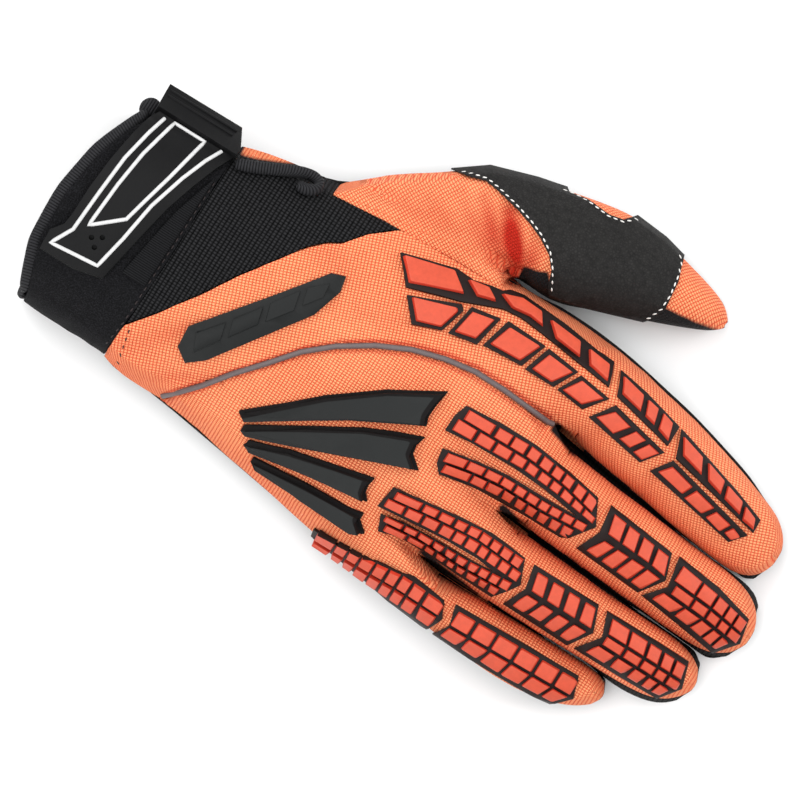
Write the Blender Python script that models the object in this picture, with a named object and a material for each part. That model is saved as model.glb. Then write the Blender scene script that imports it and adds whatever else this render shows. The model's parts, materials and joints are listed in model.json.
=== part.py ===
# Motocross glove for the right hand, lying palm down with the back up.
# +X runs to the fingertips, +Y to the thumb, +Z up. Lengths in metres.
import math

import bmesh
import bpy
from mathutils import Vector
from mathutils.bvhtree import BVHTree

# Driving sizes
HAND_LENGTH = 0.160
FINGER_LENGTH = 0.0855
PALM_WIDTH = 0.098
THUMB_REACH = 0.036
HAND_HEIGHT = 0.039
ARCH_HEIGHT = 0.0025
CLOTH = 0.0014
GUSSET = 0.0008
GUSSET_SWELL = 0.0016
NEOPRENE = 0.0022
GAP = 0.0003
SEAM_GAP = 0.0005
GUARD_BASE = 0.0010
GUARD_BLOCK = 0.0026
BLADE_FLANGE = 0.0011
BLADE_TAIL = 0.0018
BLADE_HEAD = 0.0036
PATCH = 0.0009
PIPING_WIDTH = 0.0017
PIPING_HEIGHT = 0.0012
TAB_THICKNESS = 0.0028
TAB_BAR = 0.0048
TAB_LEAN = math.radians(38)
ELASTIC = 0.0011
PLATE_BASE = 0.0010
PLATE_MARK = 0.0018
RIM_RADIUS = 0.0023
SLIT_RADIUS = 0.0022

# Plan tables. Along: 0 at the wrist rim, 1 at the finger roots, 2 at the middle
# fingertip. Across: -0.5 and 0.5 at the palm's edges, 1.5 at the thumb's far side.
# Crest and arch are shares of HAND_HEIGHT and ARCH_HEIGHT.
handColumns = ("along at thumb edge", "along at line 3", "along at line 2", "along at line 1",
               "along at little edge", "across at thumb edge", "across at line 3",
               "across at line 2", "across at line 1", "across at little edge", "crest")
handRows = [
    (0.053, 0.014, -0.003, 0.003, 0.034, 0.378, 0.173, -0.01, -0.184, -0.362, 1.128),
    (0.072, 0.056, 0.05, 0.05, 0.069, 0.383, 0.184, 0, -0.179, -0.367, 1.115),
    (0.113, 0.109, 0.106, 0.106, 0.113, 0.388, 0.194, 0.01, -0.173, -0.367, 1.103),
    (0.166, 0.166, 0.163, 0.163, 0.159, 0.395, 0.199, 0.015, -0.173, -0.367, 1.077),
    (0.222, 0.222, 0.222, 0.219, 0.211, 0.406, 0.204, 0.02, -0.173, -0.37, 1.051),
    (0.275, 0.275, 0.272, 0.266, 0.263, 0.432, 0.209, 0.02, -0.179, -0.391, 1.013),
    (0.344, 0.344, 0.344, 0.344, 0.338, 0.452, 0.214, 0.02, -0.184, -0.388, 0.974),
    (0.419, 0.419, 0.419, 0.419, 0.419, 0.469, 0.219, 0.015, -0.204, -0.403, 0.956),
    (0.512, 0.512, 0.512, 0.512, 0.512, 0.482, 0.224, 0.005, -0.224, -0.432, 0.949),
    (0.6, 0.6, 0.6, 0.6, 0.6, 0.49, 0.224, -0.01, -0.255, -0.453, 0.954),
    (0.688, 0.688, 0.688, 0.681, 0.681, 0.496, 0.219, -0.036, -0.291, -0.478, 0.974),
    (0.781, 0.781, 0.778, 0.756, 0.75, 0.498, 0.214, -0.066, -0.324, -0.497, 1),
    (0.856, 0.856, 0.853, 0.812, 0.806, 0.499, 0.207, -0.094, -0.345, -0.508, 1),
    (0.931, 0.931, 0.925, 0.866, 0.859, 0.5, 0.197, -0.115, -0.361, -0.52, 0.974),
    (1, 1, 0.994, 0.912, 0.912, 0.493, 0.192, -0.131, -0.373, -0.535, 0.936),
]

fingerColumns = ("along, thumb side", "along, little side", "across, thumb side",
                 "across, little side", "crest", "arch")
fingerRows = {
    "index": [
        (1.094, 1.094, 0.484, 0.184, 0.833, 0.3),
        (1.199, 1.199, 0.469, 0.163, 0.81, 0.8),
        (1.316, 1.316, 0.449, 0.15, 0.774, 1),
        (1.433, 1.433, 0.429, 0.135, 0.728, 0.9),
        (1.55, 1.55, 0.401, 0.117, 0.677, 0.6),
        (1.667, 1.667, 0.372, 0.104, 0.615, 0.3),
        (1.772, 1.772, 0.34, 0.095, 0.538, 0.1),
        (1.848, 1.848, 0.314, 0.1, 0.462, 0),
        (1.901, 1.901, 0.276, 0.128, 0.372, 0.1),
        (1.931, 1.931, 0.24, 0.168, 0.231, 0.2),
    ],
    "middle": [
        (1.105, 1.105, 0.147, -0.122, 0.918, 0.3),
        (1.222, 1.222, 0.135, -0.133, 0.892, 0.8),
        (1.339, 1.339, 0.124, -0.139, 0.846, 1),
        (1.456, 1.456, 0.115, -0.145, 0.795, 0.9),
        (1.573, 1.573, 0.105, -0.152, 0.738, 0.6),
        (1.69, 1.69, 0.095, -0.159, 0.667, 0.3),
        (1.807, 1.807, 0.087, -0.163, 0.577, 0.1),
        (1.901, 1.901, 0.068, -0.155, 0.474, 0),
        (1.965, 1.965, 0.031, -0.12, 0.359, 0.1),
        (1.999, 1.999, -0.015, -0.082, 0.231, 0.2),
    ],
    "ring": [
        (1.105, 0.994, -0.146, -0.374, 0.836, 0.3),
        (1.222, 1.129, -0.152, -0.38, 0.81, 0.8),
        (1.339, 1.269, -0.158, -0.382, 0.769, 1),
        (1.456, 1.409, -0.165, -0.382, 0.723, 0.9),
        (1.573, 1.55, -0.17, -0.382, 0.667, 0.6),
        (1.69, 1.678, -0.172, -0.381, 0.595, 0.3),
        (1.784, 1.784, -0.176, -0.373, 0.518, 0.1),
        (1.854, 1.854, -0.191, -0.351, 0.431, 0),
        (1.898, 1.898, -0.216, -0.316, 0.333, 0.1),
        (1.922, 1.922, -0.245, -0.291, 0.218, 0.2),
    ],
    "little": [
        (0.969, 0.969, -0.394, -0.545, 0.605, 0.3),
        (1.047, 1.047, -0.393, -0.554, 0.595, 0.8),
        (1.152, 1.152, -0.39, -0.563, 0.579, 1),
        (1.257, 1.257, -0.389, -0.569, 0.559, 0.9),
        (1.363, 1.363, -0.388, -0.568, 0.528, 0.6),
        (1.456, 1.456, -0.388, -0.558, 0.492, 0.3),
        (1.538, 1.538, -0.388, -0.539, 0.436, 0.1),
        (1.602, 1.602, -0.392, -0.513, 0.374, 0),
        (1.643, 1.643, -0.406, -0.485, 0.297, 0.1),
        (1.664, 1.664, -0.427, -0.464, 0.205, 0.2),
    ],
}

thumbColumns = ("along, outer side", "across, outer side", "along, inner side",
                "across, inner side", "crest")
thumbRows = [
    (0.494, 0.722, 0.794, 0.536, 0.692),
    (0.569, 0.944, 0.812, 0.536, 0.718),
    (0.644, 1.194, 0.838, 0.528, 0.723),
    (0.731, 1.319, 0.869, 0.525, 0.718),
    (0.825, 1.417, 0.912, 0.569, 0.692),
    (0.919, 1.494, 0.963, 0.667, 0.656),
    (0.994, 1.464, 1.035, 0.756, 0.61),
    (1.105, 1.403, 1.14, 0.85, 0.546),
    (1.222, 1.333, 1.234, 0.944, 0.462),
    (1.298, 1.258, 1.298, 1.017, 0.346),
    (1.335, 1.167, 1.335, 1.092, 0.218),
]

planColumns = ("along", "across")

pipingLine = [
    (0.341, -0.403), (0.369, -0.342), (0.4, -0.286), (0.438, -0.204), (0.481, -0.122),
    (0.525, -0.036), (0.575, 0.036), (0.637, 0.102), (0.7, 0.151), (0.762, 0.181),
    (0.825, 0.197), (0.887, 0.196), (0.95, 0.189), (1.018, 0.184),
]

slitLine = [
    (1.105, 0.165), (1.199, 0.15), (1.316, 0.138), (1.433, 0.127), (1.55, 0.112),
    (1.667, 0.101), (1.772, 0.092), (1.848, 0.091), (1.912, 0.098), (1.994, 0.107),
]

yokeLine = [
    (0.206, -0.276), (0.219, -0.245), (0.263, -0.153), (0.306, -0.051), (0.344, 0.051),
    (0.375, 0.122), (0.406, 0.194), (0.431, 0.25), (0.456, 0.291), (0.481, 0.316),
    (0.512, 0.378), (0.544, 0.423), (0.575, 0.459), (0.594, 0.485),
]

patchOutline = [
    (0.581, 1.014), (0.619, 1.042), (0.65, 1.083), (0.681, 1.064), (0.731, 1.014),
    (0.762, 0.972), (0.794, 0.917), (0.825, 0.833), (0.844, 0.736), (0.85, 0.667),
    (0.856, 0.597), (0.869, 0.533), (0.919, 0.589), (0.981, 0.683), (1.082, 0.778),
    (1.111, 0.861), (1.123, 0.972), (1.117, 1.083), (1.111, 1.222), (1.094, 1.333),
    (1.07, 1.528), (0.938, 1.583), (0.919, 1.472), (0.909, 1.422), (0.881, 1.394),
    (0.831, 1.411), (0.794, 1.383), (0.769, 1.472), (0.669, 1.361), (0.581, 1.083),
]

tabOutline = [
    (0.059, 0.367), (0.047, 0.327), (0.037, 0.255), (0.028, 0.153), (0.023, 0.051),
    (0.022, -0.051), (0.019, -0.087), (0, -0.128), (-0.003, -0.189), (0.075, -0.189),
    (0.134, -0.168), (0.144, -0.082), (0.156, 0.02), (0.169, 0.122), (0.188, 0.224),
    (0.206, 0.306), (0.225, 0.372),
]

tabBar = [
    (0.05, 0.362), (0.047, 0.439), (0.206, 0.442), (0.226, 0.383), (0.224, 0.362),
]

slitPath = [
    (0.231, 0.35), (0.263, 0.367), (0.294, 0.393), (0.325, 0.42), (0.356, 0.442),
    (0.381, 0.445), (0.392, 0.42), (0.375, 0.396), (0.35, 0.394),
]

badgeOutline = [
    (0.319, -0.153), (0.322, -0.224), (0.35, -0.255), (0.381, -0.214), (0.509, 0.082),
    (0.528, 0.184), (0.522, 0.235), (0.494, 0.219), (0.456, 0.133),
]

badgeMarks = [
    [(0.338, -0.158), (0.353, -0.214), (0.384, -0.138), (0.375, -0.082)],
    [(0.384, -0.061), (0.394, -0.117), (0.428, -0.036), (0.419, 0.02)],
    [(0.428, 0.041), (0.438, -0.015), (0.472, 0.061), (0.463, 0.122)],
    [(0.472, 0.143), (0.481, 0.087), (0.506, 0.143), (0.503, 0.189)],
]

elasticOutline = [
    (0.159, -0.122), (0.171, 0), (0.184, 0.122), (0.203, 0.224), (0.212, 0.27), (0.215, 0.27),
    (0.212, 0.102), (0.211, -0.02), (0.209, -0.122),
]

bladeOutlines = [
    [
        (0.487, -0.298), (0.484, -0.291), (0.606, -0.112), (0.7, 0.005), (0.8, 0.1),
        (0.795, 0.041), (0.794, 0), (0.8, -0.026), (0.762, -0.056), (0.669, -0.138),
        (0.575, -0.235), (0.503, -0.314),
    ],
    [
        (0.506, -0.342), (0.506, -0.321), (0.606, -0.222), (0.7, -0.133), (0.762, -0.087),
        (0.809, -0.058), (0.803, -0.092), (0.806, -0.122), (0.831, -0.155), (0.762, -0.199),
        (0.669, -0.26), (0.519, -0.35),
    ],
    [
        (0.528, -0.372), (0.528, -0.355), (0.606, -0.311), (0.7, -0.272), (0.77, -0.247),
        (0.766, -0.276), (0.769, -0.301), (0.781, -0.321), (0.7, -0.342), (0.606, -0.367),
        (0.541, -0.388),
    ],
    [
        (0.553, -0.406), (0.553, -0.393), (0.669, -0.374), (0.787, -0.36), (0.787, -0.383),
        (0.808, -0.411), (0.784, -0.429), (0.669, -0.428), (0.569, -0.424),
    ],
]

blockColumns = ("upper start", "upper end", "lower start", "lower end")
guardShapes = {
    "index_base_upper": {
        "outline": [
            (0.584, 0.388), (0.691, 0.438), (0.731, 0.435), (0.762, 0.449), (0.787, 0.455),
            (0.8, 0.471), (0.825, 0.479), (0.881, 0.474), (0.966, 0.461), (1.068, 0.451),
            (1.099, 0.376), (1, 0.386), (0.95, 0.396), (0.887, 0.408), (0.844, 0.414),
            (0.806, 0.408), (0.762, 0.38), (0.729, 0.357), (0.628, 0.306),
        ],
        "blocks": [
            [(0.591, 0.388), (0.691, 0.432), (0.728, 0.388), (0.628, 0.327)],
            [(0.719, 0.431), (0.762, 0.444), (0.787, 0.42), (0.751, 0.403)],
            [(0.787, 0.449), (0.825, 0.471), (0.872, 0.467), (0.887, 0.431), (0.856, 0.437), (0.819, 0.429)],
            [(0.891, 0.461), (0.964, 0.451), (0.977, 0.411), (0.919, 0.421)],
            [(0.982, 0.449), (1.062, 0.439), (1.085, 0.393), (1, 0.406)],
        ],
    },
    "index_base_lower_1": {
        "outline": [
            (0.637, 0.286), (0.735, 0.352), (0.744, 0.337), (0.729, 0.251), (0.674, 0.217),
        ],
        "blocks": [
            [(0.647, 0.291), (0.731, 0.337), (0.736, 0.33), (0.724, 0.26), (0.678, 0.235)],
        ],
    },
    "index_base_lower_2": {
        "outline": [
            (0.753, 0.361), (0.812, 0.378), (0.799, 0.271), (0.741, 0.254),
        ],
        "blocks": [
            [(0.759, 0.352), (0.803, 0.367), (0.791, 0.286), (0.75, 0.27)],
        ],
    },
    "index_base_lower_3": {
        "outline": [
            (0.826, 0.384), (0.911, 0.379), (0.892, 0.288), (0.809, 0.279),
        ],
        "blocks": [
            [(0.834, 0.372), (0.903, 0.372), (0.884, 0.301), (0.819, 0.296)],
        ],
    },
    "index_base_lower_4": {
        "outline": [
            (0.918, 0.378), (0.989, 0.365), (0.964, 0.285), (0.9, 0.285),
        ],
        "blocks": [
            [(0.925, 0.365), (0.981, 0.357), (0.956, 0.296), (0.911, 0.299)],
        ],
    },
    "index_base_lower_5": {
        "outline": [
            (0.997, 0.361), (1.123, 0.345), (1.061, 0.273), (0.972, 0.284),
        ],
        "blocks": [
            [(1.006, 0.35), (1.105, 0.337), (1.05, 0.286), (0.981, 0.293)],
        ],
    },
    "index_mid_upper": {
        "outline": [
            (1.103, 0.441), (1.222, 0.424), (1.386, 0.388), (1.386, 0.318), (1.14, 0.365),
        ],
        "blocks": [
            [(1.123, 0.432), (1.222, 0.413), (1.24, 0.367), (1.152, 0.383)],
            [(1.24, 0.411), (1.29, 0.403), (1.306, 0.354), (1.263, 0.362)],
            [(1.311, 0.401), (1.36, 0.388), (1.378, 0.335), (1.327, 0.349)],
        ],
    },
    "index_mid_lower": {
        "outline": [
            (1.154, 0.339), (1.389, 0.295), (1.333, 0.228), (1.094, 0.263),
        ],
        "blocks": [
            [(1.164, 0.321), (1.24, 0.306), (1.199, 0.26), (1.117, 0.276)],
            [(1.263, 0.304), (1.31, 0.296), (1.275, 0.25), (1.226, 0.257)],
            [(1.327, 0.292), (1.374, 0.284), (1.333, 0.238), (1.292, 0.245)],
        ],
    },
    "index_tip_upper": {
        "outline": [
            (1.395, 0.386), (1.526, 0.355), (1.643, 0.324), (1.805, 0.276), (1.807, 0.231),
            (1.643, 0.261), (1.433, 0.299),
        ],
        "blocks": [
            [(1.415, 0.372), (1.515, 0.347), (1.542, 0.301), (1.45, 0.321)],
            [(1.538, 0.344), (1.625, 0.321), (1.636, 0.281), (1.573, 0.296)],
            [(1.64, 0.316), (1.719, 0.296), (1.731, 0.26), (1.655, 0.276)],
            [(1.732, 0.291), (1.789, 0.272), (1.801, 0.243), (1.749, 0.25)],
        ],
    },
    "index_tip_lower": {
        "outline": [
            (1.43, 0.288), (1.643, 0.245), (1.795, 0.214), (1.749, 0.165), (1.573, 0.192),
            (1.378, 0.222),
        ],
        "blocks": [
            [(1.439, 0.27), (1.538, 0.25), (1.52, 0.214), (1.404, 0.233)],
            [(1.556, 0.247), (1.643, 0.23), (1.614, 0.194), (1.532, 0.207)],
            [(1.655, 0.224), (1.725, 0.212), (1.702, 0.177), (1.632, 0.192)],
            [(1.737, 0.209), (1.784, 0.199), (1.752, 0.173), (1.717, 0.182)],
        ],
    },
    "middle_base": {
        "outline": [
            (0.843, 0.094), (0.919, 0.105), (0.994, 0.105), (1.14, 0.09), (1.273, 0.069),
            (1.322, -0.013), (1.251, -0.098), (1.082, -0.099), (0.981, -0.097), (0.919, -0.112),
            (0.856, -0.133), (0.847, -0.056), (0.919, -0.033), (0.981, -0.019), (1.105, -0.019),
            (1.243, -0.016), (1.105, 0.001), (0.981, 0.009), (0.887, 0.004), (0.833, -0.006),
            (0.834, 0.049),
        ],
        "rows": [
            {"upper": [(0.844, 0.087), (0.994, 0.095), (1.152, 0.078), (1.292, 0.059)],
             "lower": [(0.844, 0.053), (0.994, 0.058), (1.152, 0.045), (1.304, 0.015)],
             "blocks": [
                 (0.852, 0.911, 0.852, 0.911), (0.918, 0.949, 0.918, 0.949),
                 (0.953, 0.983, 0.953, 0.983), (0.989, 1.023, 0.989, 1.023),
                 (1.035, 1.078, 1.035, 1.078), (1.088, 1.126, 1.088, 1.126),
                 (1.135, 1.173, 1.135, 1.173), (1.187, 1.228, 1.187, 1.228),
                 (1.237, 1.281, 1.237, 1.281),
             ]},
            {"upper": [(0.841, 0.046), (0.994, 0.051), (1.152, 0.038), (1.304, 0.01)],
             "lower": [(0.841, 0.007), (0.994, 0.02), (1.129, 0.012), (1.304, -0.009)],
             "blocks": [
                 (0.844, 0.886, 0.844, 0.886), (0.892, 0.926, 0.892, 0.926),
                 (0.931, 0.964, 0.931, 0.964), (0.969, 0.996, 0.969, 0.996),
                 (1.002, 1.044, 1.002, 1.044), (1.056, 1.099, 1.056, 1.099),
                 (1.108, 1.146, 1.108, 1.146), (1.156, 1.199, 1.156, 1.199),
                 (1.207, 1.248, 1.207, 1.248), (1.256, 1.304, 1.256, 1.304),
             ]},
            {"upper": [(0.856, -0.061), (0.919, -0.041), (0.981, -0.03), (1.129, -0.03), (1.304, -0.02)],
             "lower": [(0.856, -0.092), (0.919, -0.069), (0.981, -0.057), (1.129, -0.057), (1.304, -0.045)],
             "blocks": [
                 (0.861, 0.902, 0.861, 0.902), (0.905, 0.938, 0.905, 0.938),
                 (0.942, 0.972, 0.942, 0.972), (0.975, 1, 0.975, 1), (1.009, 1.05, 1.009, 1.05),
                 (1.058, 1.102, 1.058, 1.102), (1.109, 1.146, 1.109, 1.146),
                 (1.152, 1.193, 1.152, 1.193), (1.201, 1.243, 1.201, 1.243),
                 (1.25, 1.292, 1.25, 1.292),
             ]},
            {"upper": [(0.863, -0.096), (0.919, -0.077), (0.981, -0.064), (1.129, -0.064), (1.304, -0.053)],
             "lower": [(0.863, -0.124), (0.919, -0.104), (0.981, -0.091), (1.129, -0.091), (1.269, -0.089)],
             "blocks": [
                 (0.868, 0.921, 0.868, 0.921), (0.925, 0.953, 0.925, 0.953),
                 (0.956, 0.986, 0.956, 0.986), (0.989, 1.023, 0.989, 1.023),
                 (1.033, 1.07, 1.033, 1.07), (1.078, 1.117, 1.078, 1.117),
                 (1.126, 1.164, 1.126, 1.164), (1.175, 1.213, 1.175, 1.213),
                 (1.222, 1.261, 1.222, 1.261),
             ]},
        ],
    },
    "middle_mid": {
        "outline": [
            (1.327, 0.071), (1.599, 0.045), (1.632, -0.039), (1.57, -0.116), (1.302, -0.1),
            (1.342, -0.02),
        ],
        "rows": [
            {"upper": [(1.339, 0.054), (1.608, 0.029)],
             "lower": [(1.339, -0.009), (1.55, -0.02), (1.632, -0.031)],
             "blocks": [
                 (1.354, 1.407, 1.372, 1.421), (1.421, 1.468, 1.433, 1.485),
                 (1.485, 1.532, 1.498, 1.547), (1.55, 1.596, 1.561, 1.62),
             ]},
            {"upper": [(1.316, -0.033), (1.55, -0.038), (1.62, -0.044)],
             "lower": [(1.316, -0.088), (1.585, -0.102)],
             "blocks": [
                 (1.374, 1.415, 1.333, 1.386), (1.43, 1.477, 1.398, 1.454),
                 (1.491, 1.544, 1.462, 1.518), (1.556, 1.612, 1.526, 1.573),
             ]},
        ],
    },
    "middle_tip": {
        "outline": [
            (1.628, 0.049), (1.807, 0.031), (1.957, -0.003), (1.977, -0.082), (1.912, -0.153),
            (1.725, -0.131), (1.587, -0.117), (1.65, -0.051),
        ],
        "rows": [
            {"upper": [(1.643, 0.031), (1.819, 0.01), (1.959, -0.015)],
             "lower": [(1.643, -0.023), (1.819, -0.034), (1.971, -0.054)],
             "blocks": [
                 (1.658, 1.745, 1.658, 1.745), (1.753, 1.816, 1.753, 1.816),
                 (1.825, 1.869, 1.825, 1.869), (1.877, 1.912, 1.877, 1.912),
                 (1.92, 1.957, 1.92, 1.957),
             ]},
            {"upper": [(1.655, -0.033), (1.819, -0.043), (1.971, -0.061)],
             "lower": [(1.655, -0.064), (1.819, -0.073), (1.971, -0.089)],
             "blocks": [
                 (1.673, 1.751, 1.673, 1.751), (1.759, 1.816, 1.759, 1.816),
                 (1.825, 1.868, 1.825, 1.868), (1.876, 1.911, 1.876, 1.911),
                 (1.919, 1.963, 1.919, 1.963),
             ]},
            {"upper": [(1.632, -0.073), (1.819, -0.083), (1.947, -0.098)],
             "lower": [(1.608, -0.107), (1.784, -0.12), (1.924, -0.139)],
             "blocks": [
                 (1.649, 1.735, 1.62, 1.71), (1.743, 1.807, 1.72, 1.784),
                 (1.816, 1.861, 1.793, 1.842), (1.87, 1.901, 1.851, 1.887),
                 (1.91, 1.943, 1.896, 1.912),
             ]},
        ],
    },
    "ring_base": {
        "outline": [
            (0.808, -0.238), (0.887, -0.22), (0.95, -0.206), (1.023, -0.198), (1.168, -0.21),
            (1.205, -0.288), (1.14, -0.367), (1.023, -0.365), (0.919, -0.359), (0.869, -0.36),
            (0.827, -0.38), (0.814, -0.33), (0.856, -0.315), (0.919, -0.307), (0.981, -0.306),
            (1.099, -0.296), (1.023, -0.288), (0.95, -0.291), (0.856, -0.305), (0.801, -0.314),
        ],
        "rows": [
            {"upper": [(0.812, -0.248), (0.9, -0.228), (0.994, -0.21), (1.17, -0.217)],
             "lower": [(0.812, -0.273), (0.9, -0.253), (0.994, -0.239), (1.181, -0.251)],
             "blocks": [
                 (0.819, 0.872, 0.819, 0.872), (0.877, 0.906, 0.877, 0.906),
                 (0.911, 0.938, 0.911, 0.938), (0.944, 0.966, 0.944, 0.966),
                 (0.971, 0.994, 0.971, 0.994), (0.997, 1.032, 0.997, 1.032),
                 (1.04, 1.076, 1.04, 1.076), (1.084, 1.123, 1.084, 1.123),
                 (1.131, 1.167, 1.131, 1.167),
             ]},
            {"upper": [(0.806, -0.28), (0.9, -0.259), (0.994, -0.245), (1.187, -0.257)],
             "lower": [(0.806, -0.307), (0.9, -0.291), (0.994, -0.28), (1.187, -0.288)],
             "blocks": [
                 (0.811, 0.848, 0.811, 0.848), (0.853, 0.884, 0.853, 0.884),
                 (0.889, 0.919, 0.889, 0.919), (0.925, 0.95, 0.925, 0.95),
                 (0.954, 0.975, 0.954, 0.975), (0.98, 1.006, 0.98, 1.006),
                 (1.014, 1.047, 1.014, 1.047), (1.056, 1.094, 1.056, 1.094),
                 (1.103, 1.14, 1.103, 1.14), (1.149, 1.185, 1.149, 1.185),
             ]},
            {"upper": [(0.819, -0.33), (0.9, -0.315), (0.994, -0.312), (1.187, -0.296)],
             "lower": [(0.819, -0.347), (0.9, -0.333), (0.994, -0.336), (1.175, -0.327)],
             "blocks": [
                 (0.825, 0.863, 0.825, 0.863), (0.867, 0.893, 0.867, 0.893),
                 (0.897, 0.925, 0.897, 0.925), (0.929, 0.95, 0.929, 0.95),
                 (0.956, 0.975, 0.956, 0.975), (0.98, 1.002, 0.98, 1.002),
                 (1.012, 1.047, 1.012, 1.047), (1.055, 1.09, 1.055, 1.09),
                 (1.098, 1.132, 1.098, 1.132), (1.14, 1.175, 1.14, 1.175),
             ]},
            {"upper": [(0.825, -0.353), (0.9, -0.339), (0.994, -0.342), (1.164, -0.333)],
             "lower": [(0.831, -0.373), (0.9, -0.354), (0.994, -0.359), (1.14, -0.359)],
             "blocks": [
                 (0.834, 0.878, 0.834, 0.878), (0.883, 0.916, 0.883, 0.916),
                 (0.92, 0.939, 0.92, 0.939), (0.944, 0.964, 0.944, 0.964),
                 (0.969, 0.984, 0.969, 0.984), (0.989, 1.014, 0.989, 1.014),
                 (1.022, 1.064, 1.022, 1.064), (1.073, 1.105, 1.073, 1.105),
                 (1.113, 1.149, 1.113, 1.149),
             ]},
        ],
    },
    "ring_mid": {
        "outline": [
            (1.207, -0.21), (1.477, -0.21), (1.513, -0.294), (1.458, -0.37), (1.187, -0.366),
            (1.226, -0.289),
        ],
        "rows": [
            {"upper": [(1.222, -0.224), (1.48, -0.224)],
             "lower": [(1.234, -0.285), (1.503, -0.286)],
             "blocks": [
                 (1.232, 1.277, 1.249, 1.296), (1.298, 1.345, 1.313, 1.363),
                 (1.364, 1.411, 1.381, 1.43), (1.432, 1.474, 1.448, 1.498),
             ]},
            {"upper": [(1.222, -0.302), (1.503, -0.302)],
             "lower": [(1.199, -0.354), (1.48, -0.357)],
             "blocks": [
                 (1.242, 1.292, 1.214, 1.269), (1.308, 1.354, 1.281, 1.333),
                 (1.374, 1.421, 1.347, 1.398), (1.439, 1.491, 1.413, 1.456),
             ]},
        ],
    },
    "ring_tip": {
        "outline": [
            (1.513, -0.212), (1.725, -0.21), (1.856, -0.212), (1.887, -0.296), (1.83, -0.363),
            (1.667, -0.367), (1.483, -0.367), (1.547, -0.291),
        ],
        "rows": [
            {"upper": [(1.526, -0.224), (1.854, -0.229)],
             "lower": [(1.538, -0.272), (1.871, -0.273)],
             "blocks": [
                 (1.544, 1.618, 1.561, 1.635), (1.628, 1.694, 1.643, 1.708),
                 (1.706, 1.754, 1.718, 1.766), (1.766, 1.807, 1.778, 1.818),
                 (1.818, 1.854, 1.827, 1.865),
             ]},
            {"upper": [(1.55, -0.281), (1.877, -0.282)],
             "lower": [(1.55, -0.309), (1.877, -0.31)],
             "blocks": [
                 (1.561, 1.637, 1.561, 1.637), (1.647, 1.709, 1.647, 1.709),
                 (1.718, 1.768, 1.718, 1.768), (1.777, 1.815, 1.777, 1.815),
                 (1.825, 1.871, 1.825, 1.871),
             ]},
            {"upper": [(1.55, -0.319), (1.865, -0.319)],
             "lower": [(1.515, -0.356), (1.83, -0.353)],
             "blocks": [
                 (1.553, 1.62, 1.52, 1.608), (1.635, 1.697, 1.622, 1.678),
                 (1.708, 1.754, 1.692, 1.743), (1.766, 1.801, 1.753, 1.788),
                 (1.811, 1.851, 1.798, 1.828),
             ]},
        ],
    },
    "little_base": {
        "outline": [
            (0.722, -0.482), (0.794, -0.48), (0.856, -0.461), (0.919, -0.445), (1.006, -0.454),
            (1.035, -0.505), (1.006, -0.559), (0.919, -0.553), (0.856, -0.55), (0.794, -0.543),
            (0.725, -0.531),
        ],
        "rows": [
            {"upper": [(0.731, -0.49), (0.856, -0.474), (0.919, -0.459), (1, -0.465)],
             "lower": [(0.731, -0.51), (0.856, -0.506), (0.919, -0.502), (1.023, -0.504)],
             "blocks": [
                 (0.733, 0.772, 0.733, 0.772), (0.776, 0.799, 0.776, 0.799),
                 (0.803, 0.825, 0.803, 0.825), (0.829, 0.855, 0.829, 0.855),
                 (0.859, 0.882, 0.859, 0.882), (0.887, 0.908, 0.887, 0.908),
                 (0.913, 0.934, 0.913, 0.934), (0.939, 0.964, 0.939, 0.964),
                 (0.971, 1.015, 0.971, 1.015),
             ]},
            {"upper": [(0.731, -0.517), (0.856, -0.514), (0.919, -0.51), (1.023, -0.512)],
             "lower": [(0.731, -0.529), (0.856, -0.541), (0.919, -0.544), (1.012, -0.55)],
             "blocks": [
                 (0.733, 0.772, 0.733, 0.772), (0.776, 0.799, 0.776, 0.799),
                 (0.803, 0.825, 0.803, 0.825), (0.829, 0.855, 0.829, 0.855),
                 (0.859, 0.882, 0.859, 0.882), (0.887, 0.908, 0.887, 0.908),
                 (0.913, 0.934, 0.913, 0.934), (0.939, 0.964, 0.939, 0.964),
                 (0.971, 1.012, 0.971, 1.012),
             ]},
        ],
    },
    "little_tip": {
        "outline": [
            (1.047, -0.444), (1.316, -0.435), (1.552, -0.431), (1.579, -0.5), (1.518, -0.553),
            (1.316, -0.565), (1.033, -0.561), (1.068, -0.51),
        ],
        "rows": [
            {"upper": [(1.07, -0.459), (1.561, -0.445)],
             "lower": [(1.07, -0.509), (1.561, -0.497)],
             "blocks": [
                 (1.07, 1.14, 1.07, 1.14), (1.152, 1.226, 1.152, 1.226),
                 (1.236, 1.316, 1.236, 1.316), (1.326, 1.401, 1.326, 1.401),
                 (1.412, 1.484, 1.412, 1.484), (1.495, 1.561, 1.495, 1.561),
             ]},
            {"upper": [(1.07, -0.518), (1.561, -0.506)],
             "lower": [(1.047, -0.553), (1.316, -0.557), (1.526, -0.545)],
             "blocks": [
                 (1.073, 1.144, 1.053, 1.129), (1.154, 1.23, 1.139, 1.215),
                 (1.241, 1.316, 1.226, 1.303), (1.326, 1.401, 1.313, 1.386),
                 (1.412, 1.487, 1.396, 1.465), (1.497, 1.559, 1.476, 1.52),
             ]},
        ],
    },
}

# Height of the back across the hand, from the thumb edge to the little edge
crestColumns = ("share across", "share of crest")
crestProfile = [
    (0, 0.6), (0.04, 0.68), (0.143, 0.87), (0.3, 0.975), (0.5, 1), (0.7, 0.93),
    (0.857, 0.76), (0.96, 0.56), (1, 0.46),
]
# Depth of the grooves between the finger roots, per hand row from the last
grooveColumns = ("at the line", "beside it")
grooves = [(0.24, 0.035), (0.09, 0.012), (0.03, 0.004)]

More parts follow.
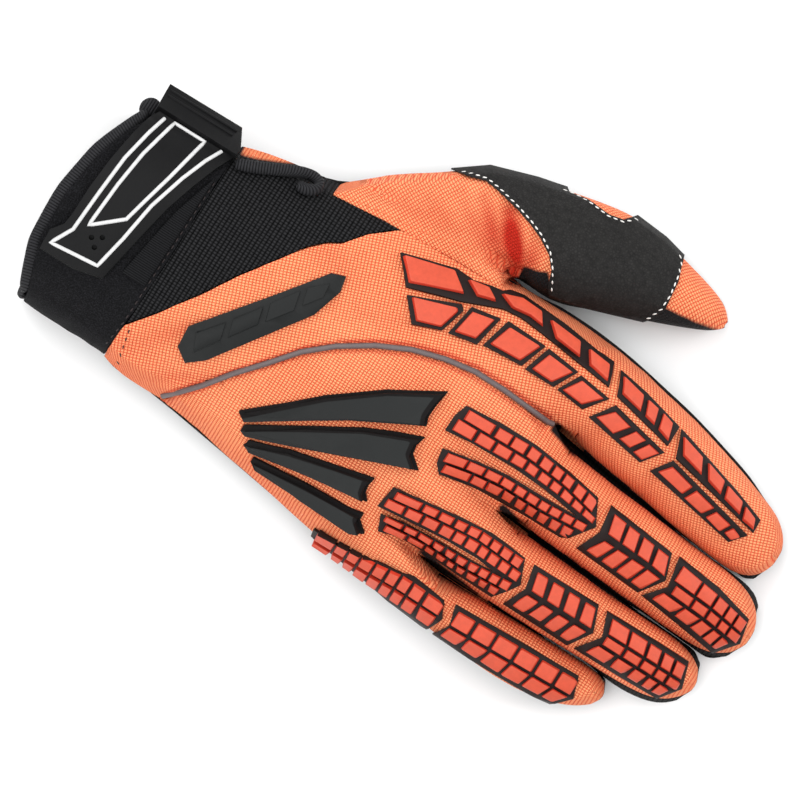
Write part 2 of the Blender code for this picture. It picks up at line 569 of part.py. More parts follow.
# One finger's section: share of half width, share of height
sectionColumns = ("across", "up")
backSection = [(0.87, 0.72), (0.47, 0.94), (0, 1), (-0.47, 0.94), (-0.87, 0.72)]
sideUp = 0.38
palmSection = [0.8, 0.42, 0, -0.42, -0.8]
fingerNames = ["index", "middle", "ring", "little"]


def along(share):
    return HAND_LENGTH * min(share, 1) + FINGER_LENGTH * max(share - 1, 0)


def across(share):
    return PALM_WIDTH * min(share, 0.5) + THUMB_REACH * max(share - 0.5, 0)


def spot(pair):
    return along(pair[0]), across(pair[1])


def blend(table, value):
    for (x0, y0), (x1, y1) in zip(table, table[1:]):
        if value <= x1:
            return y0 + (y1 - y0) * (value - x0) / (x1 - x0)
    return table[-1][1]


def clearScene():
    for thing in list(bpy.data.objects):
        bpy.data.objects.remove(thing, do_unlink=True)


# The outer form: one open mesh of quads from the wrist rim to the fingertips
def lineSplit(a, b, c, d, e):
    points = []
    for start, end in ((a, b), (b, c), (c, d), (d, e)):
        for step in range(4):
            points.append(start + (end - start) * step / 4)
    points.append(e)
    return points


def handRow(bm, row, groove):
    xs = lineSplit(*[along(v) for v in row[0:5]])
    edge0, edge1 = across(row[5]), across(row[9])
    inset = 0.04 * PALM_WIDTH
    ys = lineSplit(edge0 - inset, across(row[6]), across(row[7]), across(row[8]), edge1 + 0.8 * inset)
    crest = row[10] * HAND_HEIGHT
    back = []
    palm = []
    for column in range(17):
        share = (edge0 - ys[column]) / (edge0 - edge1)
        height = crest * blend(crestProfile, share)
        if column in (4, 8, 12):
            height -= groove[0] * HAND_HEIGHT
        elif column % 4 in (1, 3) and 2 < column < 14:
            height -= groove[1] * HAND_HEIGHT
        back.append(bm.verts.new((xs[column], ys[column], height)))
        squeeze = 0.985
        middle = (edge0 + edge1) / 2
        palm.append(bm.verts.new((xs[column], middle + (ys[column] - middle) * squeeze, 0)))
    sides = (bm.verts.new((xs[0], edge0, 0.33 * HAND_HEIGHT)),
             bm.verts.new((xs[16], edge1, 0.3 * HAND_HEIGHT)))
    return back, palm, sides


def lobeRow(bm, outer, inner, crest, floor, swell=(0, 0)):
    # outer and inner are the plan points of the two sides, swell how far the foot stands past each
    middle = (Vector(outer) + Vector(inner)) / 2
    half = (Vector(outer) - Vector(inner)) / 2
    height = crest - floor
    back = []
    palm = []
    for out, up in backSection:
        spotNow = middle + half * out
        back.append(bm.verts.new((spotNow.x, spotNow.y, floor + height * up)))
    for step, out in enumerate(palmSection):
        spotNow = middle + half * out
        if step == 0 and swell[0] > 0:
            spotNow = middle + half + half.normalized() * swell[0]
        if step == 4 and swell[1] > 0:
            spotNow = middle - half - half.normalized() * swell[1]
        palm.append(bm.verts.new((spotNow.x, spotNow.y, floor)))
    side0 = bm.verts.new((outer[0], outer[1], floor + height * sideUp))
    side1 = bm.verts.new((inner[0], inner[1], floor + height * sideUp))
    return back, palm, side0, side1


def tipRow(bm, outer, inner, height, bulge):
    middle = (Vector(outer) + Vector(inner)) / 2
    half = (Vector(outer) - Vector(inner)) / 2
    row = []
    for step in range(5):
        out = 1 - step / 2
        spotNow = middle + half * out
        row.append(bm.verts.new((spotNow.x - bulge * out * out, spotNow.y, height)))
    return row


class Form:
    def __init__(self):
        self.bm = bmesh.new()
        self.label = self.bm.faces.layers.int.new("piece")
        self.names = []

    def face(self, name, *verts):
        if name not in self.names:
            self.names.append(name)
        made = self.bm.faces.new(verts)
        made[self.label] = self.names.index(name)

    def strip(self, name, first, second):
        for step in range(len(first) - 1):
            self.face(name, first[step], first[step + 1], second[step + 1], second[step])


# How far a finger's gusset may swell towards the next finger
def swellTo(name, step, x, y):
    place = fingerNames.index(name) + step
    if not 0 <= place < len(fingerNames):
        return 0
    edge = [(along(row[1]), across(row[3])) if step < 0 else (along(row[0]), across(row[2]))
            for row in fingerRows[fingerNames[place]]]
    if x >= edge[-1][0]:
        return GUSSET_SWELL
    for (x0, y0), (x1, y1) in zip(edge, edge[1:]):
        if x <= x1:
            break
    between = abs(y - (y0 + (y1 - y0) * (max(x, x0) - x0) / (x1 - x0)))
    return min(max(between / 2 - GAP, 0), GUSSET_SWELL)


def fingerSkin(form, name, rows, root, gussets):
    back, palm, side0, side1 = root
    outer0 = "palm" if gussets[0] is None else gussets[0]
    outer1 = "palm" if gussets[1] is None else gussets[1]
    upper0 = "back" if gussets[0] is None else gussets[0]
    upper1 = "back" if gussets[1] is None else gussets[1]
    for row in rows[:-1]:
        outer = (along(row[0]), across(row[2]))
        inner = (along(row[1]), across(row[3]))
        swell = (swellTo(name, -1, *outer), swellTo(name, 1, *inner)) if row is not rows[0] else (0, 0)
        back2, palm2, next0, next1 = lobeRow(form.bm, outer, inner, row[4] * HAND_HEIGHT,
                                             row[5] * ARCH_HEIGHT, swell)
        form.strip("back", back, back2)
        form.strip("palm", palm2, palm)
        form.face(upper0, side0, back[0], back2[0], next0)
        form.face(outer0, palm[0], side0, next0, palm2[0])
        form.face(upper1, back[4], side1, next1, back2[4])
        form.face(outer1, side1, palm[4], palm2[4], next1)
        back, palm, side0, side1 = back2, palm2, next0, next1
        upper0 = upper1 = "back"
    row = rows[-1]
    outer = (along(row[0]), across(row[2]))
    inner = (along(row[1]), across(row[3]))
    tip = tipRow(form.bm, outer, inner, row[4] * HAND_HEIGHT, 0.006 * FINGER_LENGTH)
    form.strip("back", back, tip)
    form.strip("palm", tip, palm)
    form.face("back", back[0], tip[0], side0)
    form.face("palm", side0, tip[0], palm[0])
    form.face("back", tip[4], back[4], side1)
    form.face("palm", tip[4], side1, palm[4])


def thumbSkin(form, rows):
    bm = form.bm
    back = [rows[i][0][0] for i in range(7, 12)]
    palm = [rows[i][1][0] for i in range(7, 12)]
    side0, side1 = rows[7][2][0], rows[11][2][0]
    for row in thumbRows[:-1]:
        outer = (along(row[0]), across(row[1]))
        inner = (along(row[2]), across(row[3]))
        back2, palm2, next0, next1 = lobeRow(bm, outer, inner, row[4] * HAND_HEIGHT, 0)
        form.strip("thumb", back, back2)
        form.strip("palm", palm2, palm)
        form.face("thumb", side0, back[0], back2[0], next0)
        form.face("palm", palm[0], side0, next0, palm2[0])
        form.face("thumb", back[4], side1, next1, back2[4])
        form.face("palm", side1, palm[4], palm2[4], next1)
        back, palm, side0, side1 = back2, palm2, next0, next1
    row = thumbRows[-1]
    outer = (along(row[0]), across(row[1]))
    inner = (along(row[2]), across(row[3]))
    tip = tipRow(bm, outer, inner, row[4] * HAND_HEIGHT, 0)
    form.strip("thumb", back, tip)
    form.strip("palm", tip, palm)
    form.face("thumb", back[0], tip[0], side0)
    form.face("palm", side0, tip[0], palm[0])
    form.face("thumb", tip[4], back[4], side1)
    form.face("palm", tip[4], side1, palm[4])


def outerForm():
    form = Form()
    rows = []
    last = len(handRows) - 1
    for number, row in enumerate(handRows):
        behind = last - number
        groove = grooves[behind] if behind < len(grooves) else (0, 0)
        rows.append(handRow(form.bm, row, groove))
    for number in range(last):
        back, palm, sides = rows[number]
        back2, palm2, sides2 = rows[number + 1]
        name = "cuff" if number < 4 else None
        form.strip(name or "back", back, back2)
        form.strip(name or "palm", palm2, palm)
        if not 7 <= number < 11:
            form.face(name or "back", sides[0], back[0], back2[0], sides2[0])
            form.face(name or "palm", palm[0], sides[0], sides2[0], palm2[0])
        form.face(name or "back", back[16], sides[1], sides2[1], back2[16])
        form.face(name or "palm", sides[1], palm[16], palm2[16], sides2[1])
    back, palm, sides = rows[last]
    webs = {}
    for column in (4, 8, 12):
        top = back[column].co
        webs[column] = form.bm.verts.new((top.x, top.y, 0.36 * HAND_HEIGHT))
    seams = [None, "gusset_index_middle", "gusset_middle_ring", "gusset_ring_little", None]
    for number, name in enumerate(fingerNames):
        first = 4 * number
        root = (back[first:first + 5], palm[first:first + 5],
                webs.get(first, sides[0]), webs.get(first + 4, sides[1]))
        fingerSkin(form, name, fingerRows[name], root, (seams[number], seams[number + 1]))
    thumbSkin(form, rows)
    for vert in [v for v in form.bm.verts if not v.link_faces]:
        form.bm.verts.remove(vert)
    bmesh.ops.recalc_face_normals(form.bm, faces=form.bm.faces[:])
    top = max(form.bm.faces, key=lambda f: f.calc_center_median().z)
    if top.normal.z < 0:
        bmesh.ops.reverse_faces(form.bm, faces=form.bm.faces[:])
    form.bm.normal_update()
    return form


# A panel: the labelled faces made thick inwards, its seams drawn back
def panelBody(form, names, thickness):
    wanted = {form.names.index(name) for name in names}
    faces = [f for f in form.bm.faces if f[form.label] in wanted]
    pull = {}
    for face in faces:
        for loop in face.loops:
            edge = loop.edge
            outside = [f for f in edge.link_faces if f[form.label] not in wanted]
            if len(edge.link_faces) == 2 and not outside:
                continue
            direction = (loop.link_loop_next.vert.co - loop.vert.co).normalized()
            inward = face.normal.cross(direction)
            for vert in edge.verts:
                toward = (edge.other_vert(vert).co - vert.co).normalized()
                pull.setdefault(vert.index, []).append((inward, toward))
    out = bmesh.new()
    upper = {}
    lower = {}
    for face in faces:
        for vert in face.verts:
            if vert.index in upper:
                continue
            place = vert.co.copy()
            if vert.index in pull:
                total = Vector((0, 0, 0))
                away = Vector((0, 0, 0))
                for inward, toward in pull[vert.index]:
                    total += inward
                    away -= toward
                if total.length < 0.2:
                    total = away
                total.normalize()
                share = max(min(total.dot(inward) for inward, toward in pull[vert.index]), 0.25)
                place += total * (SEAM_GAP / 2 / share)
            upper[vert.index] = out.verts.new(place)
            normal = vert.normal.copy()
            if vert.co.z < 0.0001:
                normal.z = min(normal.z, -0.7)
            lower[vert.index] = out.verts.new(place - normal * thickness)
    for face in faces:
        out.faces.new([upper[v.index] for v in face.verts])
        out.faces.new([lower[v.index] for v in reversed(face.verts)])
        for loop in face.loops:
            edge = loop.edge
            outside = [f for f in edge.link_faces if f[form.label] not in wanted]
            if len(edge.link_faces) == 2 and not outside:
                continue
            a, b = loop.vert.index, loop.link_loop_next.vert.index
            out.faces.new((upper[b], upper[a], lower[a], lower[b]))
    bmesh.ops.recalc_face_normals(out, faces=out.faces[:])
    bmesh.ops.triangulate(out, faces=out.faces[:])
    return out


# A solid under part of the skin, raised by a lift, used to shape and seat the trims
def skinBody(form, chosen, lift):
    out = bmesh.new()
    made = {}
    faces = [f for f in form.bm.faces if chosen(f)]
    for face in faces:
        for vert in face.verts:
            if vert.index not in made:
                made[vert.index] = out.verts.new(vert.co + vert.normal * lift)
    for face in faces:
        out.faces.new([made[v.index] for v in face.verts])
    rim = [e for e in out.edges if len(e.link_faces) == 1]
    drop = -0.012
    lower = bmesh.ops.extrude_edge_only(out, edges=rim)["geom"]
    for vert in [g for g in lower if isinstance(g, bmesh.types.BMVert)]:
        vert.co.z = drop
    rim = [e for e in out.edges if len(e.link_faces) == 1]
    bmesh.ops.holes_fill(out, edges=rim, sides=0)
    bmesh.ops.triangulate(out, faces=out.faces[:])
    bmesh.ops.recalc_face_normals(out, faces=out.faces[:])
    return out


def keepLargest(bm):
    # a Boolean can leave a crumb beside the body; only the body stays
    waiting = set(bm.verts)
    bodies = []
    while waiting:
        body = [waiting.pop()]
        for vert in body:
            for edge in vert.link_edges:
                other = edge.other_vert(vert)
                if other in waiting:
                    waiting.discard(other)
                    body.append(other)
        bodies.append(body)
    bodies.sort(key=len)
    if len(bodies) > 1:
        print("crumbs", [len(body) for body in bodies])
    for body in bodies[:-1]:
        bmesh.ops.delete(bm, geom=body, context="VERTS")


class Workshop:
    def __init__(self):
        self.parts = bpy.data.collections.new("motocross_glove")
        self.tools = bpy.data.collections.new("cutters")
        bpy.context.scene.collection.children.link(self.parts)
        bpy.context.scene.collection.children.link(self.tools)
        self.looks = {}

    def look(self, name, color, roughness):
        made = bpy.data.materials.new(name)
        made.use_nodes = True
        shader = made.node_tree.nodes["Principled BSDF"]
        shader.inputs["Base Color"].default_value = (*color, 1)
        shader.inputs["Roughness"].default_value = roughness
        self.looks[name] = made

    def thing(self, name, bm):
        mesh = bpy.data.meshes.new(name)
        bm.to_mesh(mesh)
        bm.free()
        return bpy.data.objects.new(name, mesh)

    def combine(self, base, tool, operation):
        # one exact Boolean, baked, so that no cutter stays behind
        for item in (base, tool):
            if item.name not in self.tools.objects:
                self.tools.objects.link(item)
        modifier = base.modifiers.new("cut", "BOOLEAN")
        modifier.operation = operation
        modifier.solver = "EXACT"
        modifier.object = tool
        graph = bpy.context.evaluated_depsgraph_get()
        graph.update()
        mesh = bpy.data.meshes.new_from_object(base.evaluated_get(graph))
        base.modifiers.clear()
        base.data = mesh
        return base

    def drop(self, item):
        bpy.data.objects.remove(item, do_unlink=True)

    def finish(self, item, name, look, melt=0.06):
        bm = bmesh.new()
        bm.from_mesh(item.data)
        bmesh.ops.remove_doubles(bm, verts=bm.verts[:], dist=0.00004)
        bmesh.ops.dissolve_degenerate(bm, edges=bm.edges[:], dist=0.00003)
        bmesh.ops.dissolve_limit(bm, angle_limit=melt, verts=bm.verts[:], edges=bm.edges[:])
        bmesh.ops.triangulate(bm, faces=bm.faces[:])
        keepLargest(bm)
        bm.to_mesh(item.data)
        bm.free()
        if item.name in self.tools.objects:
            self.tools.objects.unlink(item)
        item.name = name
        item.data.name = name
        item.data.materials.clear()
        item.data.materials.append(self.looks[look])
        self.parts.objects.link(item)


# Plan point to the skin, seen from above
class Skin:
    def __init__(self, bm):
        self.tree = BVHTree.FromBMesh(bm)

    def height(self, x, y):
        # just past the edge, the height is taken a little way in
        for reach in range(9):
            for dx, dy in ((reach, 0), (0, reach / 2), (0, -reach / 2)):
                start = Vector((x + dx * 0.001, y + dy * 0.001, 0.2))
                hit = self.tree.ray_cast(start, Vector((0, 0, -1)))
                if hit[0] is not None and hit[0].z > 0:
                    return hit[0].z
        hit = self.tree.find_nearest(Vector((x, y, 0.4 * HAND_HEIGHT)))
        return hit[0].z


def inside(point, polygon):
    x, y = point
    found = False
    for (x0, y0), (x1, y1) in zip(polygon, polygon[1:] + polygon[:1]):
        if (y0 > y) != (y1 > y) and x < (x1 - x0) * (y - y0) / (y1 - y0) + x0:
            found = not found
    return found


def prisms(polygons, skin, lean, up, down):
    # plan outlines swept along a leaning direction through the skin, lean one angle or a pair
    # for the two ends of the piece
    bm = bmesh.new()
    start, end = lean if isinstance(lean, tuple) else (lean, lean)
    low = min(x for polygon in polygons for x, y in polygon)
    high = max(x for polygon in polygons for x, y in polygon)
    for polygon in polygons:
        top = []
        bottom = []
        for x, y in polygon:
            tilt = start + (end - start) * (x - low) / (high - low)
            direction = Vector((0, math.sin(tilt), math.cos(tilt)))
            place = Vector((x, y, skin.height(x, y)))
            top.append(bm.verts.new(place + direction * up))
            bottom.append(bm.verts.new(place - direction * down))
        bm.faces.new(top)
        bm.faces.new(list(reversed(bottom)))
        count = len(top)
        for i in range(count):
            j = (i + 1) % count
            bm.faces.new((top[j], top[i], bottom[i], bottom[j]))
    bmesh.ops.recalc_face_normals(bm, faces=bm.faces[:])
    bmesh.ops.triangulate(bm, faces=bm.faces[:])
    return bm


def rowBlocks(row):
    upper = [spot(p) for p in row["upper"]]
    lower = [spot(p) for p in row["lower"]]
    blocks = []
    for shares in row["blocks"]:
        u0, u1, l0, l1 = [along(s) for s in shares]
        blocks.append([(u0, blend(upper, u0)), (u1, blend(upper, u1)),
                       (l1, blend(lower, l1)), (l0, blend(lower, l0))])
    return blocks


def onHand(form, finger=None):
    # faces of the hand and, if named, of one finger or the thumb
    reach = along(1)

    def chosen(face):
        middle = face.calc_center_median()
        name = form.names[face[form.label]]
        if name == "palm" or face.normal.z < -0.3:
            return False
        if name == "thumb":
            return finger == "thumb"
        if name.startswith("gusset") and face.normal.z < 0.02:
            return False
        if finger in fingerNames:
            rows = fingerRows[finger]
            low = min(across(r[3]) for r in rows) - 0.001
            high = max(across(r[2]) for r in rows) + 0.001
            root = along(rows[0][1]) - 0.006
            if middle.x > root:
                return low < middle.y < high and isOf(form, face, finger)
            return middle.x < along(0.99) and not name.startswith("gusset")
        return middle.x < along(0.93) and not name.startswith("gusset")

    return chosen


def isOf(form, face, finger):
    # which finger a back face belongs to, by the nearest centre line
    middle = face.calc_center_median() - face.normal * 0.2 * HAND_HEIGHT
    best = None
    for name in fingerNames:
        for row in fingerRows[name]:
            line = (across(row[2]) + across(row[3])) / 2
            x = (along(row[0]) + along(row[1])) / 2
            away = abs(middle.x - x) * 0.5 + abs(middle.y - line)
            if best is None or away < best[0]:
                best = (away, name)
    return best[1] == finger


def seated(shop, form, name, look, layers, chosen, lean, foot=GAP):
    # layers: (polygons, lift) pairs, the lowest cut to the raised skin, the others standing on it
    body = None
    for polygons, lift in layers:
        top = skinBody(form, chosen, lift)
        skin = Skin(top)
        if body is None:
            body = shop.thing(name + "_layer", prisms(polygons, skin, lean, 0.02, 0.005))
            tool = shop.thing(name + "_top", top)
            shop.combine(body, tool, "INTERSECT")
            shop.drop(tool)
        else:
            layer = shop.thing(name + "_blocks", prisms(polygons, skin, lean, 0, 0.005))
            shop.combine(body, layer, "UNION")
            shop.drop(layer)
            top.free()
    tool = shop.thing(name + "_foot", skinBody(form, chosen, foot))
    shop.combine(body, tool, "DIFFERENCE")
    shop.drop(tool)
    shop.finish(body, name, look)
    return body


guardColumns = ("guard", "skin it lies on", "lean in degrees")
guardPlaces = [
    ("index_base_upper", "index", 24), ("index_base_lower_1", "index", 10),
    ("index_base_lower_2", "index", 10), ("index_base_lower_3", "index", 10),
    ("index_base_lower_4", "index", 8), ("index_base_lower_5", "index", 5),
    ("index_mid_upper", "index", 18), ("index_mid_lower", "index", 0),
    ("index_tip_upper", "index", 18), ("index_tip_lower", "index", -4),
    ("middle_base", "middle", 0), ("middle_mid", "middle", 0), ("middle_tip", "middle", 0),
    ("ring_base", "ring", -8), ("ring_mid", "ring", 0), ("ring_tip", "ring", 0),
    ("little_base", "little", (-45, -10)), ("little_tip", "little", -8),
]
bladeLeans = [-12, -18, -28, -38]


def makeGuards(shop, form):
    for name, finger, lean in guardPlaces:
        shape = guardShapes[name]
        outline = [spot(p) for p in shape["outline"]]
        blocks = [[spot(p) for p in block] for block in shape.get("blocks", [])]
        for row in shape.get("rows", []):
            blocks += rowBlocks(row)
        layers = [([outline], GAP + GUARD_BASE), (blocks, GAP + GUARD_BLOCK)]
        chosen = onHand(form, finger)
        tilt = tuple(map(math.radians, lean)) if isinstance(lean, tuple) else math.radians(lean)
        seated(shop, form, name, "coral", layers, chosen, tilt)
        print("guard", name)


def inner(polygon, margin):
    # the outline drawn in by a margin, each corner along its bisector
    area = sum(x0 * y1 - x1 * y0 for (x0, y0), (x1, y1) in zip(polygon, polygon[1:] + polygon[:1]))
    turn = 1 if area > 0 else -1
    result = []
    count = len(polygon)
    for i in range(count):
        before = Vector(polygon[i]) - Vector(polygon[i - 1])
        after = Vector(polygon[(i + 1) % count]) - Vector(polygon[i])
        before.normalize()
        after.normalize()
        side = Vector((-(before.y + after.y), before.x + after.x)) * turn
        side.normalize()
        flat = max(side.dot(Vector((-after.y, after.x)) * turn), 0.6)
        place = Vector(polygon[i]) + side * margin / flat
        result.append((place.x, place.y))
    return result


def makeBlades(shop, form):
    chosen = onHand(form)
    for number, outline in enumerate(bladeOutlines):
        polygon = [spot(p) for p in outline]
        name = f"blade_{number + 1}"
        lean = math.radians(bladeLeans[number])
        flange = skinBody(form, chosen, GAP + BLADE_FLANGE)
        skin = Skin(flange)
        body = shop.thing(name + "_layer", prisms([polygon], skin, lean, 0.01, 0.005))
        tool = shop.thing(name + "_top", flange)
        shop.combine(body, tool, "INTERSECT")
        shop.drop(tool)
        wedge = bmesh.new()
        inset = inner([polygon[0]] + polygon[2:-1], 0.0008)
        start = min(x for x, y in inset)
        end = max(x for x, y in inset)
        direction = Vector((0, math.sin(lean), math.cos(lean)))
        top = []
        bottom = []
        for x, y in inset:
            rise = BLADE_TAIL + (BLADE_HEAD - BLADE_TAIL) * (x - start) / (end - start)
            place = Vector((x, y, skin.height(x, y)))
            top.append(wedge.verts.new(place + direction * (rise - BLADE_FLANGE)))
            bottom.append(wedge.verts.new(place - direction * 0.006))
        wedge.faces.new(top)
        wedge.faces.new(list(reversed(bottom)))
        for i in range(len(top)):
            j = (i + 1) % len(top)
            wedge.faces.new((top[j], top[i], bottom[i], bottom[j]))
        bmesh.ops.recalc_face_normals(wedge, faces=wedge.faces[:])
        bmesh.ops.triangulate(wedge, faces=wedge.faces[:])
        part = shop.thing(name + "_wedge", wedge)
        shop.combine(body, part, "UNION")
        shop.drop(part)
        tool = shop.thing(name + "_foot", skinBody(form, chosen, GAP))
        shop.combine(body, tool, "DIFFERENCE")
        shop.drop(tool)
        shop.finish(body, name, "slate")


def ribbon(points, width):
    # plan polygon round a line
    left = []
    right = []
    count = len(points)
    for i, (x, y) in enumerate(points):
        before = Vector(points[max(i - 1, 0)])
        after = Vector(points[min(i + 1, count - 1)])
        direction = (after - before).normalized()
        side = Vector((-direction.y, direction.x)) * width / 2
        left.append((x + side.x, y + side.y))
        right.append((x - side.x, y - side.y))
    return left + list(reversed(right))


def tube(path, radius, sides, closed):
    # a round roll along 3D points, its section kept upright to the path
    bm = bmesh.new()
    rings = []
    count = len(path)
    for i, place in enumerate(path):
        before = path[i - 1] if closed or i > 0 else place
        after = path[(i + 1) % count] if closed or i < count - 1 else place
        direction = (after - before).normalized()
        side = direction.cross(Vector((0, 0, 1)))
        if side.length < 0.1:
            side = Vector((1, 0, 0))
        side.normalize()
        top = side.cross(direction)
        ring = []
        for k in range(sides):
            angle = 2 * math.pi * k / sides
            ring.append(bm.verts.new(place + (side * math.cos(angle) + top * math.sin(angle)) * radius))
        rings.append(ring)
    spans = count if closed else count - 1
    for i in range(spans):
        ring, following = rings[i], rings[(i + 1) % count]
        for k in range(sides):
            m = (k + 1) % sides
            bm.faces.new((ring[k], ring[m], following[m], following[k]))
    if not closed:
        bm.faces.new(rings[0])
        bm.faces.new(rings[-1])
    bmesh.ops.recalc_face_normals(bm, faces=bm.faces[:])
    bmesh.ops.triangulate(bm, faces=bm.faces[:])
    return bm


def rimPath(form):
    # the open edge of the wrist, in order
    edges = [e for e in form.bm.edges if len(e.link_faces) == 1]
    start = edges[0].verts[0]
    order = [start]
    edge = edges[0]
    vert = edge.other_vert(start)
    while vert is not start:
        order.append(vert)
        edge = [e for e in vert.link_edges if e is not edge and len(e.link_faces) == 1][0]
        vert = edge.other_vert(vert)
    return order


def bindingPath(form):
    path = []
    for vert in rimPath(form):
        place = vert.co - vert.normal * (NEOPRENE / 2)
        path.append(Vector((place.x - RIM_RADIUS - GAP, place.y, max(place.z, RIM_RADIUS))))
    return path


def makeBinding(shop, form):
    roll = tube(bindingPath(form), RIM_RADIUS, 6, True)
    shop.finish(shop.thing("roll", roll), "cuff_binding", "binding")


def splitBack(shop, form):
    # the yoke and the two back panels are parts of one sheet, parted along the seams
    yoke = [spot(p) for p in yokeLine]
    pipe = [spot(p) for p in pipingLine + slitLine]
    west, east = along(-0.2), along(2.2)
    south, north = across(-0.8), across(0.62)
    half = SEAM_GAP / 2
    regions = {
        "wrist_yoke": (shift(yoke, half, 1) + [(along(0.594) + 0.002, north), (west, north), (west, yoke[0][1])],
                       "mesh"),
        "back_lower_panel": (shift(pipe, half, -1) + [(east, pipe[-1][1]), (east, south), (west, south),
                                                      (pipe[0][0], south)], "orange"),
        "back_upper_panel": (shift(pipe, half, 1) + [(east, pipe[-1][1]), (east, north),
                                                     (along(0.594) + 0.0024, north)]
                             + list(reversed(shift(yoke, half, -1)))
                             + [(west, yoke[0][1] - 0.001), (west, south), (pipe[0][0] - 0.0004, south)], "orange"),
    }
    for name, (polygon, look) in regions.items():
        sheet = shop.thing(name + "_sheet", panelBody(form, ["back"], CLOTH))
        bm = bmesh.new()
        top = [bm.verts.new((x, y, 0.1)) for x, y in polygon]
        bottom = [bm.verts.new((x, y, -0.05)) for x, y in polygon]
        bm.faces.new(top)
        bm.faces.new(list(reversed(bottom)))
        for i in range(len(top)):
            j = (i + 1) % len(top)
            bm.faces.new((top[j], top[i], bottom[i], bottom[j]))
        bmesh.ops.recalc_face_normals(bm, faces=bm.faces[:])
        bmesh.ops.triangulate(bm, faces=bm.faces[:])
        tool = shop.thing(name + "_region", bm)
        shop.combine(sheet, tool, "INTERSECT")
        shop.drop(tool)
        shop.finish(sheet, name, look, 0.0005)


def shift(line, distance, side):
    # the line moved sideways in plan
    result = []
    count = len(line)
    for i, (x, y) in enumerate(line):
        before = Vector(line[max(i - 1, 0)])
        after = Vector(line[min(i + 1, count - 1)])
        direction = (after - before).normalized()
        result.append((x - direction.y * distance * side, y + direction.x * distance * side))
    return result


def makeTab(shop, form):
    # the moulded tab, and the fold bar that rolls over the cuff's thumb edge
    chosen = onHand(form)
    lean = math.radians(6)
    top = skinBody(form, chosen, GAP + TAB_THICKNESS)
    skin = Skin(top)
    body = shop.thing("tab_plate", prisms([[spot(p) for p in tabOutline]], skin, lean, 0.02, 0.005))
    tool = shop.thing("tab_top", top)
    shop.combine(body, tool, "INTERSECT")
    shop.drop(tool)
    bm = bmesh.new()
    upper = []
    lower = []
    fold = across(0.36)
    direction = Vector((0, math.sin(TAB_LEAN), math.cos(TAB_LEAN)))
    for pair in tabBar:
        x, y = spot(pair)
        place = Vector((x, y, skin.height(x, fold) - math.tan(TAB_LEAN) * (y - fold)))
        upper.append(bm.verts.new(place + direction * (TAB_BAR - TAB_THICKNESS)))
        lower.append(bm.verts.new(place - direction * 0.0021))
    bm.faces.new(upper)
    bm.faces.new(list(reversed(lower)))
    for i in range(len(upper)):
        j = (i + 1) % len(upper)
        bm.faces.new((upper[j], upper[i], lower[i], lower[j]))
    bmesh.ops.recalc_face_normals(bm, faces=bm.faces[:])
    bmesh.ops.triangulate(bm, faces=bm.faces[:])
    bar = shop.thing("tab_bar", bm)
    shop.combine(body, bar, "UNION")
    shop.drop(bar)
    tool = shop.thing("tab_foot", skinBody(form, chosen, GAP))
    shop.combine(body, tool, "DIFFERENCE")
    shop.drop(tool)
    tool = shop.thing("tab_clear", tube(bindingPath(form), RIM_RADIUS + 1.5 * GAP, 6, True))
    shop.combine(body, tool, "DIFFERENCE")
    shop.drop(tool)
    shop.finish(body, "strap_tab", "rubber", 0.03)


def makeSlit(shop, form):
    chosen = onHand(form)
    skin = Skin(skinBody(form, chosen, GAP + SLIT_RADIUS))
    path = []
    for pair in slitPath:
        x, y = spot(pair)
        path.append(Vector((x, y, skin.height(x, y))))
    body = shop.thing("slit", tube(path, SLIT_RADIUS, 7, False))
    tool = shop.thing("slit_foot", skinBody(form, chosen, GAP))
    shop.combine(body, tool, "DIFFERENCE")
    shop.drop(tool)
    shop.finish(body, "slit_binding", "binding")


clearScene()
shop = Workshop()
shop.look("orange", (0.93, 0.27, 0.09), 0.8)
shop.look("coral", (0.85, 0.14, 0.05), 0.45)
shop.look("mesh", (0.02, 0.02, 0.022), 0.85)
shop.look("leather", (0.015, 0.014, 0.014), 0.6)
shop.look("gusset", (0.03, 0.02, 0.02), 0.8)
shop.look("neoprene", (0.012, 0.012, 0.014), 0.8)
shop.look("binding", (0.02, 0.02, 0.023), 0.75)
shop.look("rubber", (0.02, 0.02, 0.022), 0.35)
shop.look("slate", (0.035, 0.04, 0.04), 0.4)
shop.look("piping", (0.15, 0.12, 0.12), 0.5)
form = outerForm()
form.bm.verts.index_update()

splitBack(shop, form)
panels = [("palm_panel", ["palm"], "leather", CLOTH), ("thumb_panel", ["thumb"], "orange", CLOTH),
          ("cuff", ["cuff"], "neoprene", NEOPRENE)]
panels += [(name, [name], "gusset", GUSSET) for name in form.names if name.startswith("gusset")]
for name, labels, look, thickness in panels:
    melt = 0.06 if name == "palm_panel" else 0.0005
    shop.finish(shop.thing(name, panelBody(form, labels, thickness)), name, look, melt)
print("shell")
makeGuards(shop, form)
makeBlades(shop, form)
makeBinding(shop, form)
makeTab(shop, form)
makeSlit(shop, form)
handOnly = onHand(form)
seated(shop, form, "seam_piping", "piping",
       [([ribbon([spot(p) for p in pipingLine[1:-1]], PIPING_WIDTH)], GAP + PIPING_HEIGHT)],
       onHand(form, "index"), math.radians(-6))
seated(shop, form, "thumb_patch", "leather",
       [([[spot(p) for p in patchOutline]], GAP + PATCH)], onHand(form, "thumb"), 0)
seated(shop, form, "back_plate", "coral",
       [([[spot(p) for p in badgeOutline]], GAP + PLATE_BASE),
        ([[spot(p) for p in mark] for mark in badgeMarks], GAP + PLATE_MARK)], handOnly, 0)
seated(shop, form, "elastic_band", "binding",
       [([[spot(p) for p in elasticOutline]], GAP + ELASTIC)], handOnly, 0)

